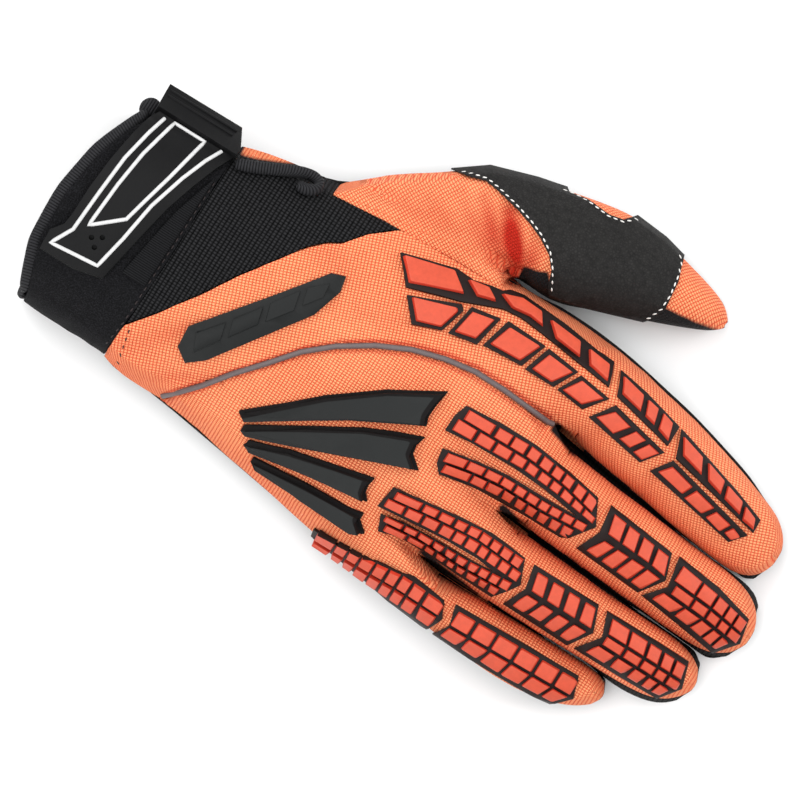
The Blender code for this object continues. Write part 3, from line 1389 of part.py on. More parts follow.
# The origin: middle of the glove's footprint, on the floor
corners = [v.co for item in shop.parts.objects for v in item.data.vertices]
low = Vector([min(c[i] for c in corners) for i in range(3)])
high = Vector([max(c[i] for c in corners) for i in range(3)])
offset = Vector(((low.x + high.x) / 2, (low.y + high.y) / 2, low.z))
for item in shop.parts.objects:
    for vert in item.data.vertices:
        vert.co -= offset
print("bounds", low - offset, high - offset)
for item in shop.parts.objects:
    print(item.name, len(item.data.polygons))
print("triangles", sum(len(item.data.polygons) for item in shop.parts.objects))
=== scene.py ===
import json
import math

import bmesh
import bpy
import numpy as np
from mathutils import Matrix, Vector, noise
from mathutils.bvhtree import BVHTree


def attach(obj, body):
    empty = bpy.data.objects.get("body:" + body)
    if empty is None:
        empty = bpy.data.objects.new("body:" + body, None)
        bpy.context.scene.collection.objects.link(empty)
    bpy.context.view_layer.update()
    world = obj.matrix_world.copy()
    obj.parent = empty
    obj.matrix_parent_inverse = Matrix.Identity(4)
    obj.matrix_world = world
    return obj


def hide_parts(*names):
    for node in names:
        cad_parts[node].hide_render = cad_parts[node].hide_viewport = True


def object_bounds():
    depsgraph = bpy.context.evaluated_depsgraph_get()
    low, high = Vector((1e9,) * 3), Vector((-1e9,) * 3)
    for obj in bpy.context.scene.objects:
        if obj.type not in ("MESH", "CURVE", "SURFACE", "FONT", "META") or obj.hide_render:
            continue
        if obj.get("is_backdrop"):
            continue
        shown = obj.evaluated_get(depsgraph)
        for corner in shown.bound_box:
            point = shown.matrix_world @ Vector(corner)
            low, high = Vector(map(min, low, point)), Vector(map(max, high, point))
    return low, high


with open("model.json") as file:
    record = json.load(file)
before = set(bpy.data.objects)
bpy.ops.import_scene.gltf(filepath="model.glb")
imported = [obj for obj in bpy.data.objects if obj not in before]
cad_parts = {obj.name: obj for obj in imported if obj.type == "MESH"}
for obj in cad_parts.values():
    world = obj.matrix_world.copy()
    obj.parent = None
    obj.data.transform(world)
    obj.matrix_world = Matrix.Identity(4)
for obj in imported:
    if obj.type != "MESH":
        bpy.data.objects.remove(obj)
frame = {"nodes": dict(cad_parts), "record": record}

cadLow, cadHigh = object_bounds()
mm = 0.001
weldReach = 0.00003  # corners this near each other are one, in metres

# Plan places are in millimetres from a point near the middle of the back,
# x to the fingertips and y to the thumb. gloveMiddle moves them to the frame.
gloveMiddle = (2.95, 15.05)


def plan(x, y):
    return (x - gloveMiddle[0]) * mm, (y - gloveMiddle[1]) * mm


def planOf(place):
    # plan place of a point in the frame
    return place[0] / mm + gloveMiddle[0], place[1] / mm + gloveMiddle[1]


def lineAt(points, x):
    # y of a polyline at x
    for (x0, y0), (x1, y1) in zip(points, points[1:]):
        if x <= x1:
            return y0 + (y1 - y0) * (x - x0) / (x1 - x0)
    return points[-1][1]


def smoothStep(value, low, high):
    t = min(max((value - low) / (high - low), 0), 1)
    return t * t * (3 - 2 * t)


def onSpan(first, second, x, y, small=0.0):
    # how far along a straight plan line the nearest place is, and how far off
    dx, dy = second[0] - first[0], second[1] - first[1]
    t = min(max(((x - first[0]) * dx + (y - first[1]) * dy) / (dx * dx + dy * dy + small), 0), 1)
    return t, math.hypot(x - first[0] - t * dx, y - first[1] - t * dy)


def mergedCopy(node):
    # a CAD node comes as loose triangles
    bm = bmesh.new()
    bm.from_mesh(frame["nodes"][node].data)
    bmesh.ops.remove_doubles(bm, verts=bm.verts[:], dist=weldReach)
    return bm


def slotOf(node):
    return next(sub["material_slot"] for sub in frame["record"]["subparts"] if sub["node"] == node)


def keepMesh(name, bm, materials):
    # a bmesh becomes a piece of the glove
    mesh = bpy.data.meshes.new(name)
    bm.to_mesh(mesh)
    bm.free()
    for material in materials:
        mesh.materials.append(material)
    mesh.polygons.foreach_set("use_smooth", [True] * len(mesh.polygons))
    piece = bpy.data.objects.new(name, mesh)
    bpy.context.scene.collection.objects.link(piece)
    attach(piece, "root")
    return piece


def withModifiers(piece):
    # the piece's mesh with its modifiers applied
    graph = bpy.context.evaluated_depsgraph_get()
    graph.update()
    mesh = bpy.data.meshes.new_from_object(piece.evaluated_get(graph))
    piece.modifiers.clear()
    old = piece.data
    piece.data = mesh
    bpy.data.meshes.remove(old)
    return piece


mapScale = 100  # millimetres of cloth in one unit of its map
edgeWidth = 6  # what "other" is divided by in the attribute, in mm


# Shader maths: a socket with operators
class Wire:
    def __init__(self, tree, socket):
        self.tree = tree
        self.socket = socket

    def maths(self, operation, *others, clamp=False):
        node = self.tree.nodes.new("ShaderNodeMath")
        node.operation = operation
        node.use_clamp = clamp
        for place, value in enumerate((self,) + others):
            put(self.tree, node.inputs[place], value)
        return Wire(self.tree, node.outputs[0])

    def __add__(self, other):
        return self.maths("ADD", other)

    def __radd__(self, other):
        return self.maths("ADD", other)

    def __sub__(self, other):
        return self.maths("SUBTRACT", other)

    def __rsub__(self, other):
        return Wire(self.tree, self.maths("MULTIPLY", -1).maths("ADD", other).socket)

    def __mul__(self, other):
        return self.maths("MULTIPLY", other)

    def __rmul__(self, other):
        return self.maths("MULTIPLY", other)

    def __truediv__(self, other):
        return self.maths("DIVIDE", other)


def put(tree, socket, value):
    if isinstance(value, Wire):
        tree.links.new(value.socket, socket)
    elif hasattr(socket.default_value, "__len__") and len(socket.default_value) == 4:
        socket.default_value = (*value, 1) if len(value) == 3 else value
    else:
        socket.default_value = value


class Finish:
    # one Principled material and the nodes that feed it
    def __init__(self, name, color, roughness, **constants):
        self.material = bpy.data.materials.new(name)
        self.material.use_nodes = True
        self.tree = self.material.node_tree
        self.shader = self.tree.nodes["Principled BSDF"]
        self.set("Base Color", color)
        self.set("Roughness", roughness)
        for key, value in constants.items():
            self.set(key.replace("_", " "), value)

    def set(self, socket, value):
        put(self.tree, self.shader.inputs[socket], value)

    def node(self, kind, settings=None, inputs=None, output=0):
        made = self.tree.nodes.new(kind)
        for key, value in (settings or {}).items():
            setattr(made, key, value)
        for key, value in (inputs or {}).items():
            put(self.tree, made.inputs[key], value)
        return Wire(self.tree, made.outputs[output])

    def objectPlace(self):
        return self.node("ShaderNodeTexCoord", output=3)

    def split(self, vector):
        node = self.tree.nodes.new("ShaderNodeSeparateXYZ")
        put(self.tree, node.inputs[0], vector)
        return [Wire(self.tree, out) for out in node.outputs]

    def share(self, name):
        # a piece's own attribute
        return self.node("ShaderNodeAttribute", {"attribute_name": name}, output=2)

    def cloth(self):
        # millimetres along and across the cloth, from the piece's own map
        place = self.node("ShaderNodeUVMap", {"uv_map": "cloth"})
        u, v, _ = self.split(place)
        return u * mapScale, v * mapScale

    def grain(self, scale, detail=3, rough=0.6):
        return self.node("ShaderNodeTexNoise", {"noise_dimensions": "3D"},
                         {"Vector": self.objectPlace(), "Scale": scale, "Detail": detail,
                          "Roughness": rough})

    def mixed(self, share, first, second):
        node = self.tree.nodes.new("ShaderNodeMix")
        node.data_type = "RGBA"
        put(self.tree, node.inputs[0], share)
        put(self.tree, node.inputs[6], first)
        put(self.tree, node.inputs[7], second)
        return Wire(self.tree, node.outputs[2])

    def bump(self, height, distance, strength=1.0):
        normal = self.node("ShaderNodeBump", None,
                           {"Height": height, "Distance": distance, "Strength": strength})
        self.set("Normal", normal)


def sinePads(finish, value, pitch, sharp=4):
    # 1 on a thread and 0 in the groove beside it, once for each pitch
    share = (value / pitch).maths("FRACT")
    return 1 - (share * 2 - 1).maths("ABSOLUTE").maths("POWER", sharp)


# pitches in mm along and across the cloth; light and deep are the weave's painted highlight and painted
# shade
weave = {"along": 1.06, "across": 0.85, "light": (1.0, 0.37, 0.17), "deep": (0.68, 0.06, 0.018),
         # the fold colour is painted shade in creases, on steep sides and beside the piping
         "fold": (0.5, 0.018, 0.006), "black": (0.006, 0.006, 0.007), "depth": 0.00042}
knit = {"along": 1.35, "across": 0.95, "dark": (0.0012, 0.0012, 0.0014), "light": (0.032, 0.032, 0.034),
        "depth": 0.0005}
ribKnit = {"pitch": 1.3, "dark": (0.001, 0.001, 0.001), "light": (0.012, 0.011, 0.011), "depth": 0.0003}
foam = {"dark": (0.003, 0.003, 0.0035), "light": (0.022, 0.022, 0.025), "depth": 0.00025}
rubber = {"dust": 420, "dusty": 0.35, "darker": 0.68, "depth": 0.00008}


def nylonTone(finish):
    # woven squares, with painted highlight on top of each and painted shade in the grooves between
    u, v = finish.cloth()
    wander = finish.grain(260, 2)
    u = u + (wander - 0.5) * 0.5
    pads = sinePads(finish, u, weave["along"], 3) * sinePads(finish, v, weave["across"], 3)
    cloud = finish.grain(35, 4, 0.65)
    fleck = finish.grain(1900, 2)
    share = (pads * 0.95 + cloud * 0.45 + (fleck - 0.5) * 0.5).maths("ADD", -0.2, clamp=True)
    tone = finish.mixed(share, weave["deep"], weave["light"])
    # painted shade: deep red where the piece's fold share is high
    return finish.mixed(finish.share("fold"), tone, weave["fold"]), pads, fleck


def meshTone(finish):
    # black cloth with lines of knots
    u, v = finish.cloth()
    ribs = sinePads(finish, u, knit["along"], 2)
    knots = sinePads(finish, v, knit["across"], 2)
    share = (ribs * knots * 0.8 + (finish.grain(900) - 0.5) * 0.6).maths("MULTIPLY", 1, clamp=True)
    return finish.mixed(share, knit["dark"], knit["light"]), ribs * 0.7 + ribs * knots * 0.5


def otherShare(finish):
    # 1 where the cloth shows in its other colour
    return (finish.share("other") * edgeWidth).maths("ADD", 0.5, clamp=True)


def wovenNylon():
    finish = Finish("wovenNylon", (0.9, 0.3, 0.1), 0.85, Specular_IOR_Level=0.25)
    tone, pads, fleck = nylonTone(finish)
    finish.set("Base Color", finish.mixed(otherShare(finish), tone, weave["black"]))
    finish.set("Roughness", 0.95 - pads * 0.15)
    finish.bump(pads + fleck * 0.3, weave["depth"], 0.9)
    return finish.material


def coarseMesh():
    finish = Finish("coarseMesh", (0.02, 0.02, 0.022), 0.85, Specular_IOR_Level=0.06)
    tone, height = meshTone(finish)
    orange, pads, _ = nylonTone(finish)
    other = otherShare(finish)
    finish.set("Base Color", finish.mixed(other, tone, orange))
    finish.bump(height + pads * other * 0.5, knit["depth"], 0.9)
    return finish.material


def neoprene():
    finish = Finish("neoprene", (0.016, 0.016, 0.018), 0.85, Specular_IOR_Level=0.1)
    specks = finish.grain(2400, 3, 0.7)
    share = (specks - 0.45).maths("MULTIPLY", 3, clamp=True)
    finish.set("Base Color", finish.mixed(share, foam["dark"], foam["light"]))
    finish.bump(specks, foam["depth"], 0.7)
    return finish.material


def ribbedTape(name, pitch, light):
    finish = Finish(name, (0.02, 0.02, 0.022), 0.75, Specular_IOR_Level=0.1)
    u, _ = finish.cloth()
    ribs = sinePads(finish, u, pitch, 2)
    share = (ribs * 0.8 + (finish.grain(1500) - 0.5) * 0.5).maths("MULTIPLY", 1, clamp=True)
    finish.set("Base Color", finish.mixed(share, (0.0015, 0.0015, 0.0018), light))
    finish.bump(ribs, 0.0003, 0.8)
    return finish.material


def gussetKnit():
    finish = Finish("gussetKnit", (0.01, 0.01, 0.01), 0.8, Specular_IOR_Level=0.1)
    u, _ = finish.cloth()
    ribs = sinePads(finish, u, ribKnit["pitch"], 2)
    orange, pads, _ = nylonTone(finish)
    other = otherShare(finish)
    black = finish.mixed(ribs, ribKnit["dark"], ribKnit["light"])
    finish.set("Base Color", finish.mixed(other, black, orange))
    finish.bump(ribs * (1 - other) + pads * other, ribKnit["depth"], 0.8)
    return finish.material


def leather(name, dark, light, scale):
    finish = Finish(name, light, 0.75, Specular_IOR_Level=0.12)
    cells = finish.node("ShaderNodeTexVoronoi", {"feature": "DISTANCE_TO_EDGE"},
                        {"Vector": finish.objectPlace(), "Scale": scale})
    soft = finish.grain(scale * 0.5, 4, 0.6)
    tone = (soft * 0.8 + cells * 1.2).maths("MULTIPLY", 0.8, clamp=True)
    finish.set("Base Color", finish.mixed(tone, dark, light))
    finish.set("Roughness", 0.85 - soft * 0.25)
    finish.bump(cells.maths("MINIMUM", 0.25) * 2 + soft * 0.5, 0.0002, 0.6)
    return finish.material


def dustyTone(finish, color):
    # rubber is darker where no dust lies
    dust = finish.grain(rubber["dust"], 4, 0.7)
    share = (dust - rubber["dusty"]).maths("MULTIPLY", 1.1, clamp=True)
    return finish.mixed(share, tuple(part * rubber["darker"] for part in color), color), dust


def mouldedRubber(name, color, roughness, shine=0.35, rim=None):
    finish = Finish(name, color, roughness, Specular_IOR_Level=shine)
    tone, dust = dustyTone(finish, color)
    fine = finish.grain(3200, 2)
    if rim:
        # painted shade: a deeper colour on the piece's edges, where its band is above nothing
        tone = finish.mixed(finish.share("band").maths("ADD", 0.0, clamp=True), tone, rim)
    finish.set("Base Color", tone)
    finish.set("Roughness", dust * 0.22 + (roughness - 0.1))
    finish.bump(fine * 0.5 + dust * 0.5, rubber["depth"], 0.5)
    return finish.material


def bandedRubber(name, color, roughness, shine):
    # slate, black where a piece's band is above nothing; the back plate has no band
    finish = Finish(name, color, roughness, Specular_IOR_Level=shine)
    tone, dust = dustyTone(finish, color)
    # painted shade: darker towards the narrow ends
    x, _, _ = finish.split(finish.objectPlace())
    lit = (x * 22 + 0.75).maths("ADD", 0.0, clamp=True)
    tone = finish.mixed(lit, tuple(part * 0.5 for part in color), tone)
    black = (finish.share("band") * 4).maths("ADD", 0.0, clamp=True)
    finish.set("Base Color", finish.mixed(black, tone, (0.002, 0.001, 0.001)))
    finish.set("Roughness", dust * 0.22 + (roughness - 0.1) + black * 0.35)
    finish.bump(dust, rubber["depth"], 0.5)
    return finish.material


def thread(name, color):
    finish = Finish(name, color, 0.6)
    finish.bump(finish.grain(4200, 2), 0.0001, 0.6)
    return finish.material


finishes = {
    "orange": wovenNylon(), "mesh": coarseMesh(), "neoprene": neoprene(),
    "tape": ribbedTape("ribbedTape", 0.9, (0.032, 0.032, 0.035)),
    "elastic": ribbedTape("elastic", 0.7, (0.012, 0.012, 0.0135)),
    "gusset": gussetKnit(),
    "palm": leather("palmLeather", (0.0025, 0.0025, 0.0025), (0.012, 0.0115, 0.0115), 700),
    "suede": leather("suedePatch", (0.003, 0.003, 0.003), (0.03, 0.0285, 0.0275), 1100),
    # the coral's last colour is painted shade for the blocks' sides
    "coral": mouldedRubber("coralRubber", (0.72, 0.09, 0.039), 0.5, 0.35, (0.5, 0.035, 0.015)),
    "base": mouldedRubber("darkBaseRubber", (0.014, 0.0065, 0.0055), 0.6, 0.22),
    "slate": bandedRubber("slateRubber", (0.0095, 0.0115, 0.0115), 0.45, 0.22),
    "tab": mouldedRubber("tabRubber", (0.0055, 0.0055, 0.006), 0.5, 0.14),
    "white": mouldedRubber("whiteLine", (0.8, 0.8, 0.8), 0.45),
    "piping": mouldedRubber("pipingCord", (0.15, 0.115, 0.115), 0.4),
    "whiteThread": thread("whiteThread", (0.7, 0.68, 0.65)),
    "darkThread": thread("darkThread", (0.012, 0.005, 0.005)),
    "orangeThread": thread("orangeThread", (0.75, 0.17, 0.06)),
}
print("finishes made")


# The shell: smooth cloth grown from the merged CAD panels
fingerLines = {
    "index": [(30, 34), (51, 32.7), (70, 29.3), (90, 25.4), (109, 21.3), (123, 20)],
    "middle": [(30, 3), (52, 1.2), (72, -0.7), (92, -2.3), (112, -3.8), (128, -5)],
    "ring": [(30, -24), (52, -25.8), (72, -26.5), (92, -27), (110, -27), (122, -26)],
    "little": [(20, -43.5), (38, -46), (56, -46.7), (74, -46.8), (89, -45.4), (100, -43.5)],
}

shellPieces = {
    # piece: CAD node, finish, subdivision, size of its small folds in mm, turn of its grain in degrees
    "wristYoke": ("wrist_yoke", "mesh", 3, 0.1, 0),
    "backUpper": ("back_upper_panel", "orange", 3, 0.25, -20),
    "backLower": ("back_lower_panel", "orange", 3, 0.25, 0),
    "thumbCloth": ("thumb_panel", "orange", 3, 0.35, 28),
    "palmLeather": ("palm_panel", "palm", 2, 0.0, 0),
    "gussetIndexMiddle": ("gusset_index_middle", "gusset", 2, 0.0, 0),
    "gussetMiddleRing": ("gusset_middle_ring", "gusset", 2, 0.0, 0),
    "gussetRingLittle": ("gusset_ring_little", "gusset", 2, 0.0, 0),
    "cuffBody": ("cuff", "neoprene", 3, 0.2, 0),
}
shellDress = {
    "fullness": 0.9,  # share of what subdivision draws in that is given back
    "sharp": 58, "crease": 0.9,  # edges steeper than this many degrees stay crisp
    "foldsFrom": 9, "foldsFull": 14,  # heights in mm, because the underside lies flat
    "cuffReach": 1.6,  # how far the cuff's rim reaches under its binding, in mm
}

# plan lines between the fingers, where the gussets meet low down
fingerGaps = [
    [(44, 17.3), (52, 16.2), (62, 14.6), (72, 13.4), (82, 12.2), (92, 10.8)],
    [(43, -12.2), (52, -13.2), (62, -14), (72, -14.6), (82, -15.2), (92, -15.8)],
    [(27, -36.2), (38, -37.9), (47, -38), (56, -37.9), (65, -37.8), (74, -37.7)],
]
indexOuter = [(20, 49.3), (33, 49), (51, 47.4), (70, 44), (90, 39.3), (109, 33.3), (115.5, 30.8)]
gap = {"top": 15, "reach": 3.4, "outerPull": 0.9}


def gapPull(x, y, z):
    # how far a low place moves towards the line between two fingers, in mm
    if z > gap["top"]:
        return 0
    outer = lineAt(indexOuter, x)
    if 18 < x < 112 and outer - 6 < y < 52:
        along = smoothStep(x, 18, 26) * smoothStep(112 - x, 0, 12)
        return gap["outerPull"] * along * smoothStep(y, outer - 5, outer - 1)
    for line in fingerGaps:
        if line[0][0] - 1 < x < line[-1][0]:
            away = lineAt(line, x) - y
            if abs(away) < gap["reach"]:
                near = smoothStep(gap["reach"] - abs(away), 0, 0.6)
                return away * near * smoothStep(gap["top"] + 1 - z, 2, 8)
    return 0


# plan outlines of the cloth that shows in another colour
otherCloth = {
    "backLower": [[(43.4, 16.2), (43.2, 19.6), (46, 19.4), (52, 17.6), (54, 13.4), (46, 15.4)],
                  [(42.3, -11.2), (43, -10.2), (45, -10.2), (48, -11), (52, -11.8), (54, -14), (46, -13.6),
                   (43, -12.8)],
                  [(28.6, -34.9), (32, -34.6), (40, -35.8), (48, -36.8), (48, -38.4), (42, -38.3),
                   (34, -37.4), (29.2, -36)]],
    "backUpper": [[(43.4, 16.2), (43.2, 19.8), (46, 19.4), (52, 17.8), (54, 13.4), (46, 15.4)]],
    "thumbCloth": [[(52, 66.2), (58, 66.8), (64, 67.6), (71, 69.2), (78, 66), (70, 58), (52, 56)],
                   [(19, 52.5), (24, 53), (32, 55), (42, 58.2), (52, 62), (60, 52), (19, 40)],
                   [(10.4, 53), (17.5, 56.5), (21, 53), (24, 48), (10.4, 48)]],
    "gussetIndexMiddle": [[(43.4, 19.6), (44.6, 20), (46.5, 18.9), (52, 17.8), (60, 16.8), (60, 12),
                           (52, 13.8), (46, 15.4), (43.6, 16.6)]],
    "gussetMiddleRing": [[(42.3, -11.2), (43, -10.2), (45, -10.2), (48, -11), (52, -11.8), (60, -12.6),
                          (60, -15), (52, -14.2), (46, -13.6), (43, -12.8)]],
    "gussetRingLittle": [[(28.6, -34.9), (32, -34.6), (40, -35.8), (52, -36.8), (52, -38.6), (42, -38.5),
                          (34, -37.4), (29.2, -36)]],
    "wristYoke": [[(-80, 37.5), (-76, 38.8), (-70, 41.5), (-65, 44), (-66, 50), (-82, 50)]],
}


def sideOf(outline, x, y):
    # how far inside an outline a place is, in mm, negative outside
    inside = False
    nearest = 1e9
    for first, second in zip(outline, outline[1:] + outline[:1]):
        (x0, y0), (x1, y1) = first, second
        if (y0 > y) != (y1 > y) and x < x0 + (x1 - x0) * (y - y0) / (y1 - y0):
            inside = not inside
        nearest = min(nearest, onSpan(first, second, x, y)[1])
    return nearest if inside else -nearest


# dents in the cloth: from x, y to x, y, depth, half width, all in mm
dents = [
    (-2, 66, 9.5, 50.5, 3.6, 2.9), (-11, 66, 3, 51, 1.6, 2.6), (-18, 63, 0, 50.5, 0.8, 2.6),
    (8, 64, 12, 53, 0.9, 1.8),
    (12, 62, 13, 52, 0.8, 2), (-30, 57, -6, 50.5, 0.6, 3.5), (-40, 51, -18, 50, 0.6, 3),
    (-70, -36, -50, -24, 0.5, 2), (-78, -30, -60, -10, 0.5, 3), (-60, 30, -30, 24, 0.35, 5),
    (-30, 14, -8, 22, 0.35, 4), (56, 16, 58, 44, 0.3, 2), (53, 0, 53, 0.1, 0.1, 1),
    (77, 14, 79, 40, 0.35, 2.2), (70, -13, 70, 11, 0.35, 2.2), (96, -14, 96, 9, 0.3, 2.2),
    (61, -37, 61, -15, 0.35, 2.2), (87, -37, 87, -17, 0.3, 2.2), (46, -55, 46, -39, 0.35, 2.2),
    (-100, -36, -100, 30, 0.5, 3), (-92, -36, -93, -14, 0.7, 2.2), (-86, -36, -87, -10, 0.5, 1.8),
]
pipingLine = [(-62.5, -39), (-58, -33.5), (-53, -28), (-47, -20), (-40, -12), (-33, -3.5), (-25, 3.5),
              (-15, 10), (-5, 14.8), (5, 17.7), (15, 19.3), (25, 19.2), (35, 18.5), (42, 18)]


clothMap = {
    "thumbFrom": (-60, 50), "thumbMiddle": 66, "thumbTop": 20, "thumbDrop": 0.3,
    "fingersFrom": 40, "fingersFull": 50, "handTop": 24, "fingerTop": 14, "fingerRound": 15,
}


def clothCoordinates(x, y, z):
    # distance along and over the cloth, near enough for a weave
    if x > clothMap["thumbFrom"][0] and y > clothMap["thumbFrom"][1]:
        side = 1 if y > clothMap["thumbMiddle"] else -1
        return x, y + side * clothMap["thumbDrop"] * max(clothMap["thumbTop"] - z, 0)
    across = y
    side = 1 if y > 0 else -1
    top = clothMap["handTop"]
    if x > clothMap["fingersFrom"]:
        # round each finger instead of over the whole hand
        best = min(fingerLines, key=lambda name: abs(y - lineAt(fingerLines[name], x)))
        away = y - lineAt(fingerLines[best], x)
        side = 1 if away > 0 else -1
        arc = clothMap["fingerRound"] * math.asin(min(max(away / clothMap["fingerRound"], -1), 1))
        finger = smoothStep(x, clothMap["fingersFrom"], clothMap["fingersFull"])
        across = y + (arc - away) * finger
        top = clothMap["handTop"] - (clothMap["handTop"] - clothMap["fingerTop"]) * finger
    return x, across + side * max(top - z, 0)


def dentDepth(x, y):
    depth = 0
    for x0, y0, x1, y1, deep, half in dents:
        if abs(x - x0) > abs(x1 - x0) + 4 * half and abs(x - x1) > 4 * half:
            continue
        t, off = onSpan((x0, y0), (x1, y1), x, y, 1e-9)
        away = off / half
        if away < 3:
            # deepest half way along
            swell = 0.35 + 0.65 * math.sin(math.pi * min(max(t, 0.08), 0.92))
            depth += deep * math.exp(-away * away) * swell
    return depth


def hump(value, width):
    return math.exp(-(value / width) ** 2)


def seamPucker(x, y):
    # the cloth gathers a little below the piping
    if not pipingLine[0][0] + 0.5 < x < pipingLine[-1][0]:
        return 0
    below = lineAt(pipingLine, x) - y
    if not -3 < below < 9:
        return 0
    wave = math.sin(x * 2.1 + 0.9 * math.sin(x * 0.37)) + 0.5 * math.sin(x * 3.7)
    return hump(below - 0.5, 1.6) * 0.55 - 0.16 * wave * hump(below - 3.2, 2.4)


def pipingShade(x, y):
    # painted shade: the cloth is painted deeper red in the hollows on both sides of the piping
    if not pipingLine[0][0] + 0.5 < x < pipingLine[-1][0]:
        return 0
    above = (y - lineAt(pipingLine, x)) * 0.8
    return 0.75 * hump(above - 1.3, 0.55) + 0.5 * hump(above + 1.5, 0.5)


def grown(piece, levels):
    grow = piece.modifiers.new("round", "SUBSURF")
    grow.levels = grow.render_levels = levels
    grow.boundary_smooth = "PRESERVE_CORNERS"
    return withModifiers(piece)


def coordinates(mesh):
    flat = np.empty(len(mesh.vertices) * 3)
    mesh.vertices.foreach_get("co", flat)
    return flat.reshape(-1, 3)


def fillOut(piece):
    # subdivision draws corners in, so they start that much further out
    wanted = coordinates(piece.data)
    trial = bpy.data.objects.new("trial", piece.data.copy())
    bpy.context.scene.collection.objects.link(trial)
    grown(trial, 2)
    wider = wanted + (wanted - coordinates(trial.data)[:len(wanted)]) * shellDress["fullness"]
    old = trial.data
    bpy.data.objects.remove(trial)
    bpy.data.meshes.remove(old)
    piece.data.vertices.foreach_set("co", wider.reshape(-1))


def dressPanel(pieceName):
    node, look, levels, foldSize, turn = shellPieces[pieceName]
    bm = mergedCopy(node)
    bmesh.ops.join_triangles(bm, faces=bm.faces[:], angle_face_threshold=0.9, angle_shape_threshold=1.2)
    crease = bm.edges.layers.float.new("crease_edge")
    for edge in bm.edges:
        if edge.is_manifold and edge.calc_face_angle(0) > math.radians(shellDress["sharp"]):
            edge[crease] = shellDress["crease"]
    mesh = bpy.data.meshes.new(pieceName)
    bm.to_mesh(mesh)
    bm.free()
    mesh.materials.append(finishes[look])
    piece = bpy.data.objects.new(pieceName, mesh)
    bpy.context.scene.collection.objects.link(piece)
    fillOut(piece)
    grown(piece, levels)
    mesh = piece.data
    count = len(mesh.vertices)
    places = coordinates(mesh)
    normals = np.empty(count * 3)
    mesh.vertices.foreach_get("normal", normals)
    normals = normals.reshape(-1, 3)
    shifts = np.zeros((count, 3))
    uvs = np.zeros((count, 2))
    folds = np.zeros(count)
    others = np.full(count, -5.0)
    cosine, sine = math.cos(math.radians(turn)), math.sin(math.radians(turn))
    for number in range(count):
        x, y = planOf(places[number])
        z = places[number][2] / mm
        u, v = clothCoordinates(x, y, z)
        uvs[number] = (u * cosine - v * sine, u * sine + v * cosine)
        for outline in otherCloth.get(pieceName, []):
            others[number] = max(others[number], sideOf(outline, x, y))
        if pieceName.startswith("gusset"):
            others[number] = -others[number] if z > 8 and x < 56 else -5
        if pieceName.startswith("gusset") or pieceName == "palmLeather":
            shifts[number][1] = gapPull(x, y, z) * mm
        if pieceName == "cuffBody":
            shifts[number][0] = -shellDress["cuffReach"] * mm * smoothStep(-x, 104, 114)
        if z > shellDress["foldsFrom"] and foldSize:
            outward = 1 if normals[number][2] > -0.2 else -1
            crumple = noise.noise(Vector((x * 0.11, y * 0.16, z * 0.1))) * foldSize
            crumple += noise.noise(Vector((x * 0.3, y * 0.34, z * 0.3))) * foldSize * 0.5
            depth = -crumple
            if look in ("orange", "neoprene"):
                dent = dentDepth(x, y)
                depth += dent + (seamPucker(x, y) if look == "orange" else 0)
                # painted shade: the fold share paints the dents, the steep sides and the hollows beside the
                # piping deep red
                slope = 1 - smoothStep(normals[number][2] * outward, 0.3, 0.8)
                folds[number] = max(min(dent / 2.2, 1), 0.1 * slope, pipingShade(x, y))
            push = -depth * mm * outward * smoothStep(z, shellDress["foldsFrom"], shellDress["foldsFull"])
            shifts[number] += normals[number] * push
    places += shifts
    places[:, 2] = np.maximum(places[:, 2], 0)
    mesh.vertices.foreach_set("co", places.reshape(-1))
    layer = mesh.uv_layers.new(name="cloth")
    corners = np.empty(len(mesh.loops), dtype=np.int32)
    mesh.loops.foreach_get("vertex_index", corners)
    layer.data.foreach_set("uv", (uvs[corners] / mapScale).reshape(-1))
    mesh.attributes.new("fold", "FLOAT", "POINT").data.foreach_set("value", folds)
    mesh.attributes.new("other", "FLOAT", "POINT").data.foreach_set("value", others / edgeWidth)
    mesh.polygons.foreach_set("use_smooth", [True] * len(mesh.polygons))
    mesh.update()
    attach(piece, "root")
    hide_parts(node)
    slotOf(node)
    print(pieceName, len(mesh.polygons))
    return piece


shell = [dressPanel(name) for name in shellPieces]
print("shell dressed")


# The skin that the trims lie on
def treeOf(meshes):
    vertices = []
    faces = []
    for mesh in meshes:
        start = len(vertices)
        vertices += [tuple(v.co) for v in mesh.vertices]
        faces += [tuple(start + i for i in polygon.vertices) for polygon in mesh.polygons]
    return BVHTree.FromPolygons(vertices, faces)


skin = treeOf([piece.data for piece in shell])
plainSkin = treeOf([frame["nodes"][entry[0]].data for entry in shellPieces.values()])  # before its folds


def overSkin(x, y, tree=None):
    # the place and the normal of the glove's top above a plan place
    px, py = plan(x, y)
    place, normal, _, _ = (tree or skin).ray_cast(Vector((px, py, 0.2)), Vector((0, 0, -1)))
    if place is None:
        place, normal, _, _ = (tree or skin).find_nearest(Vector((px, py, 0.02)))
    return place, normal


def islandsOf(bm, degrees):
    # groups of faces that meet across shallow edges
    limit = math.radians(degrees)
    left = set(bm.faces)
    groups = []
    for start in bm.faces:
        if start not in left:
            continue
        left.discard(start)
        group = [start]
        for face in group:
            for edge in face.edges:
                if edge.is_manifold and edge.calc_face_angle(0) < limit:
                    for other in edge.link_faces:
                        if other in left:
                            left.discard(other)
                            group.append(other)
        groups.append(group)
    return groups


def meanNormal(group):
    total = Vector()
    for face in group:
        total += face.normal * face.calc_area()
    return total.normalized()


def middleOf(group):
    area = sum(face.calc_area() for face in group)
    return sum((face.calc_center_median() * face.calc_area() for face in group), Vector()) / area, area


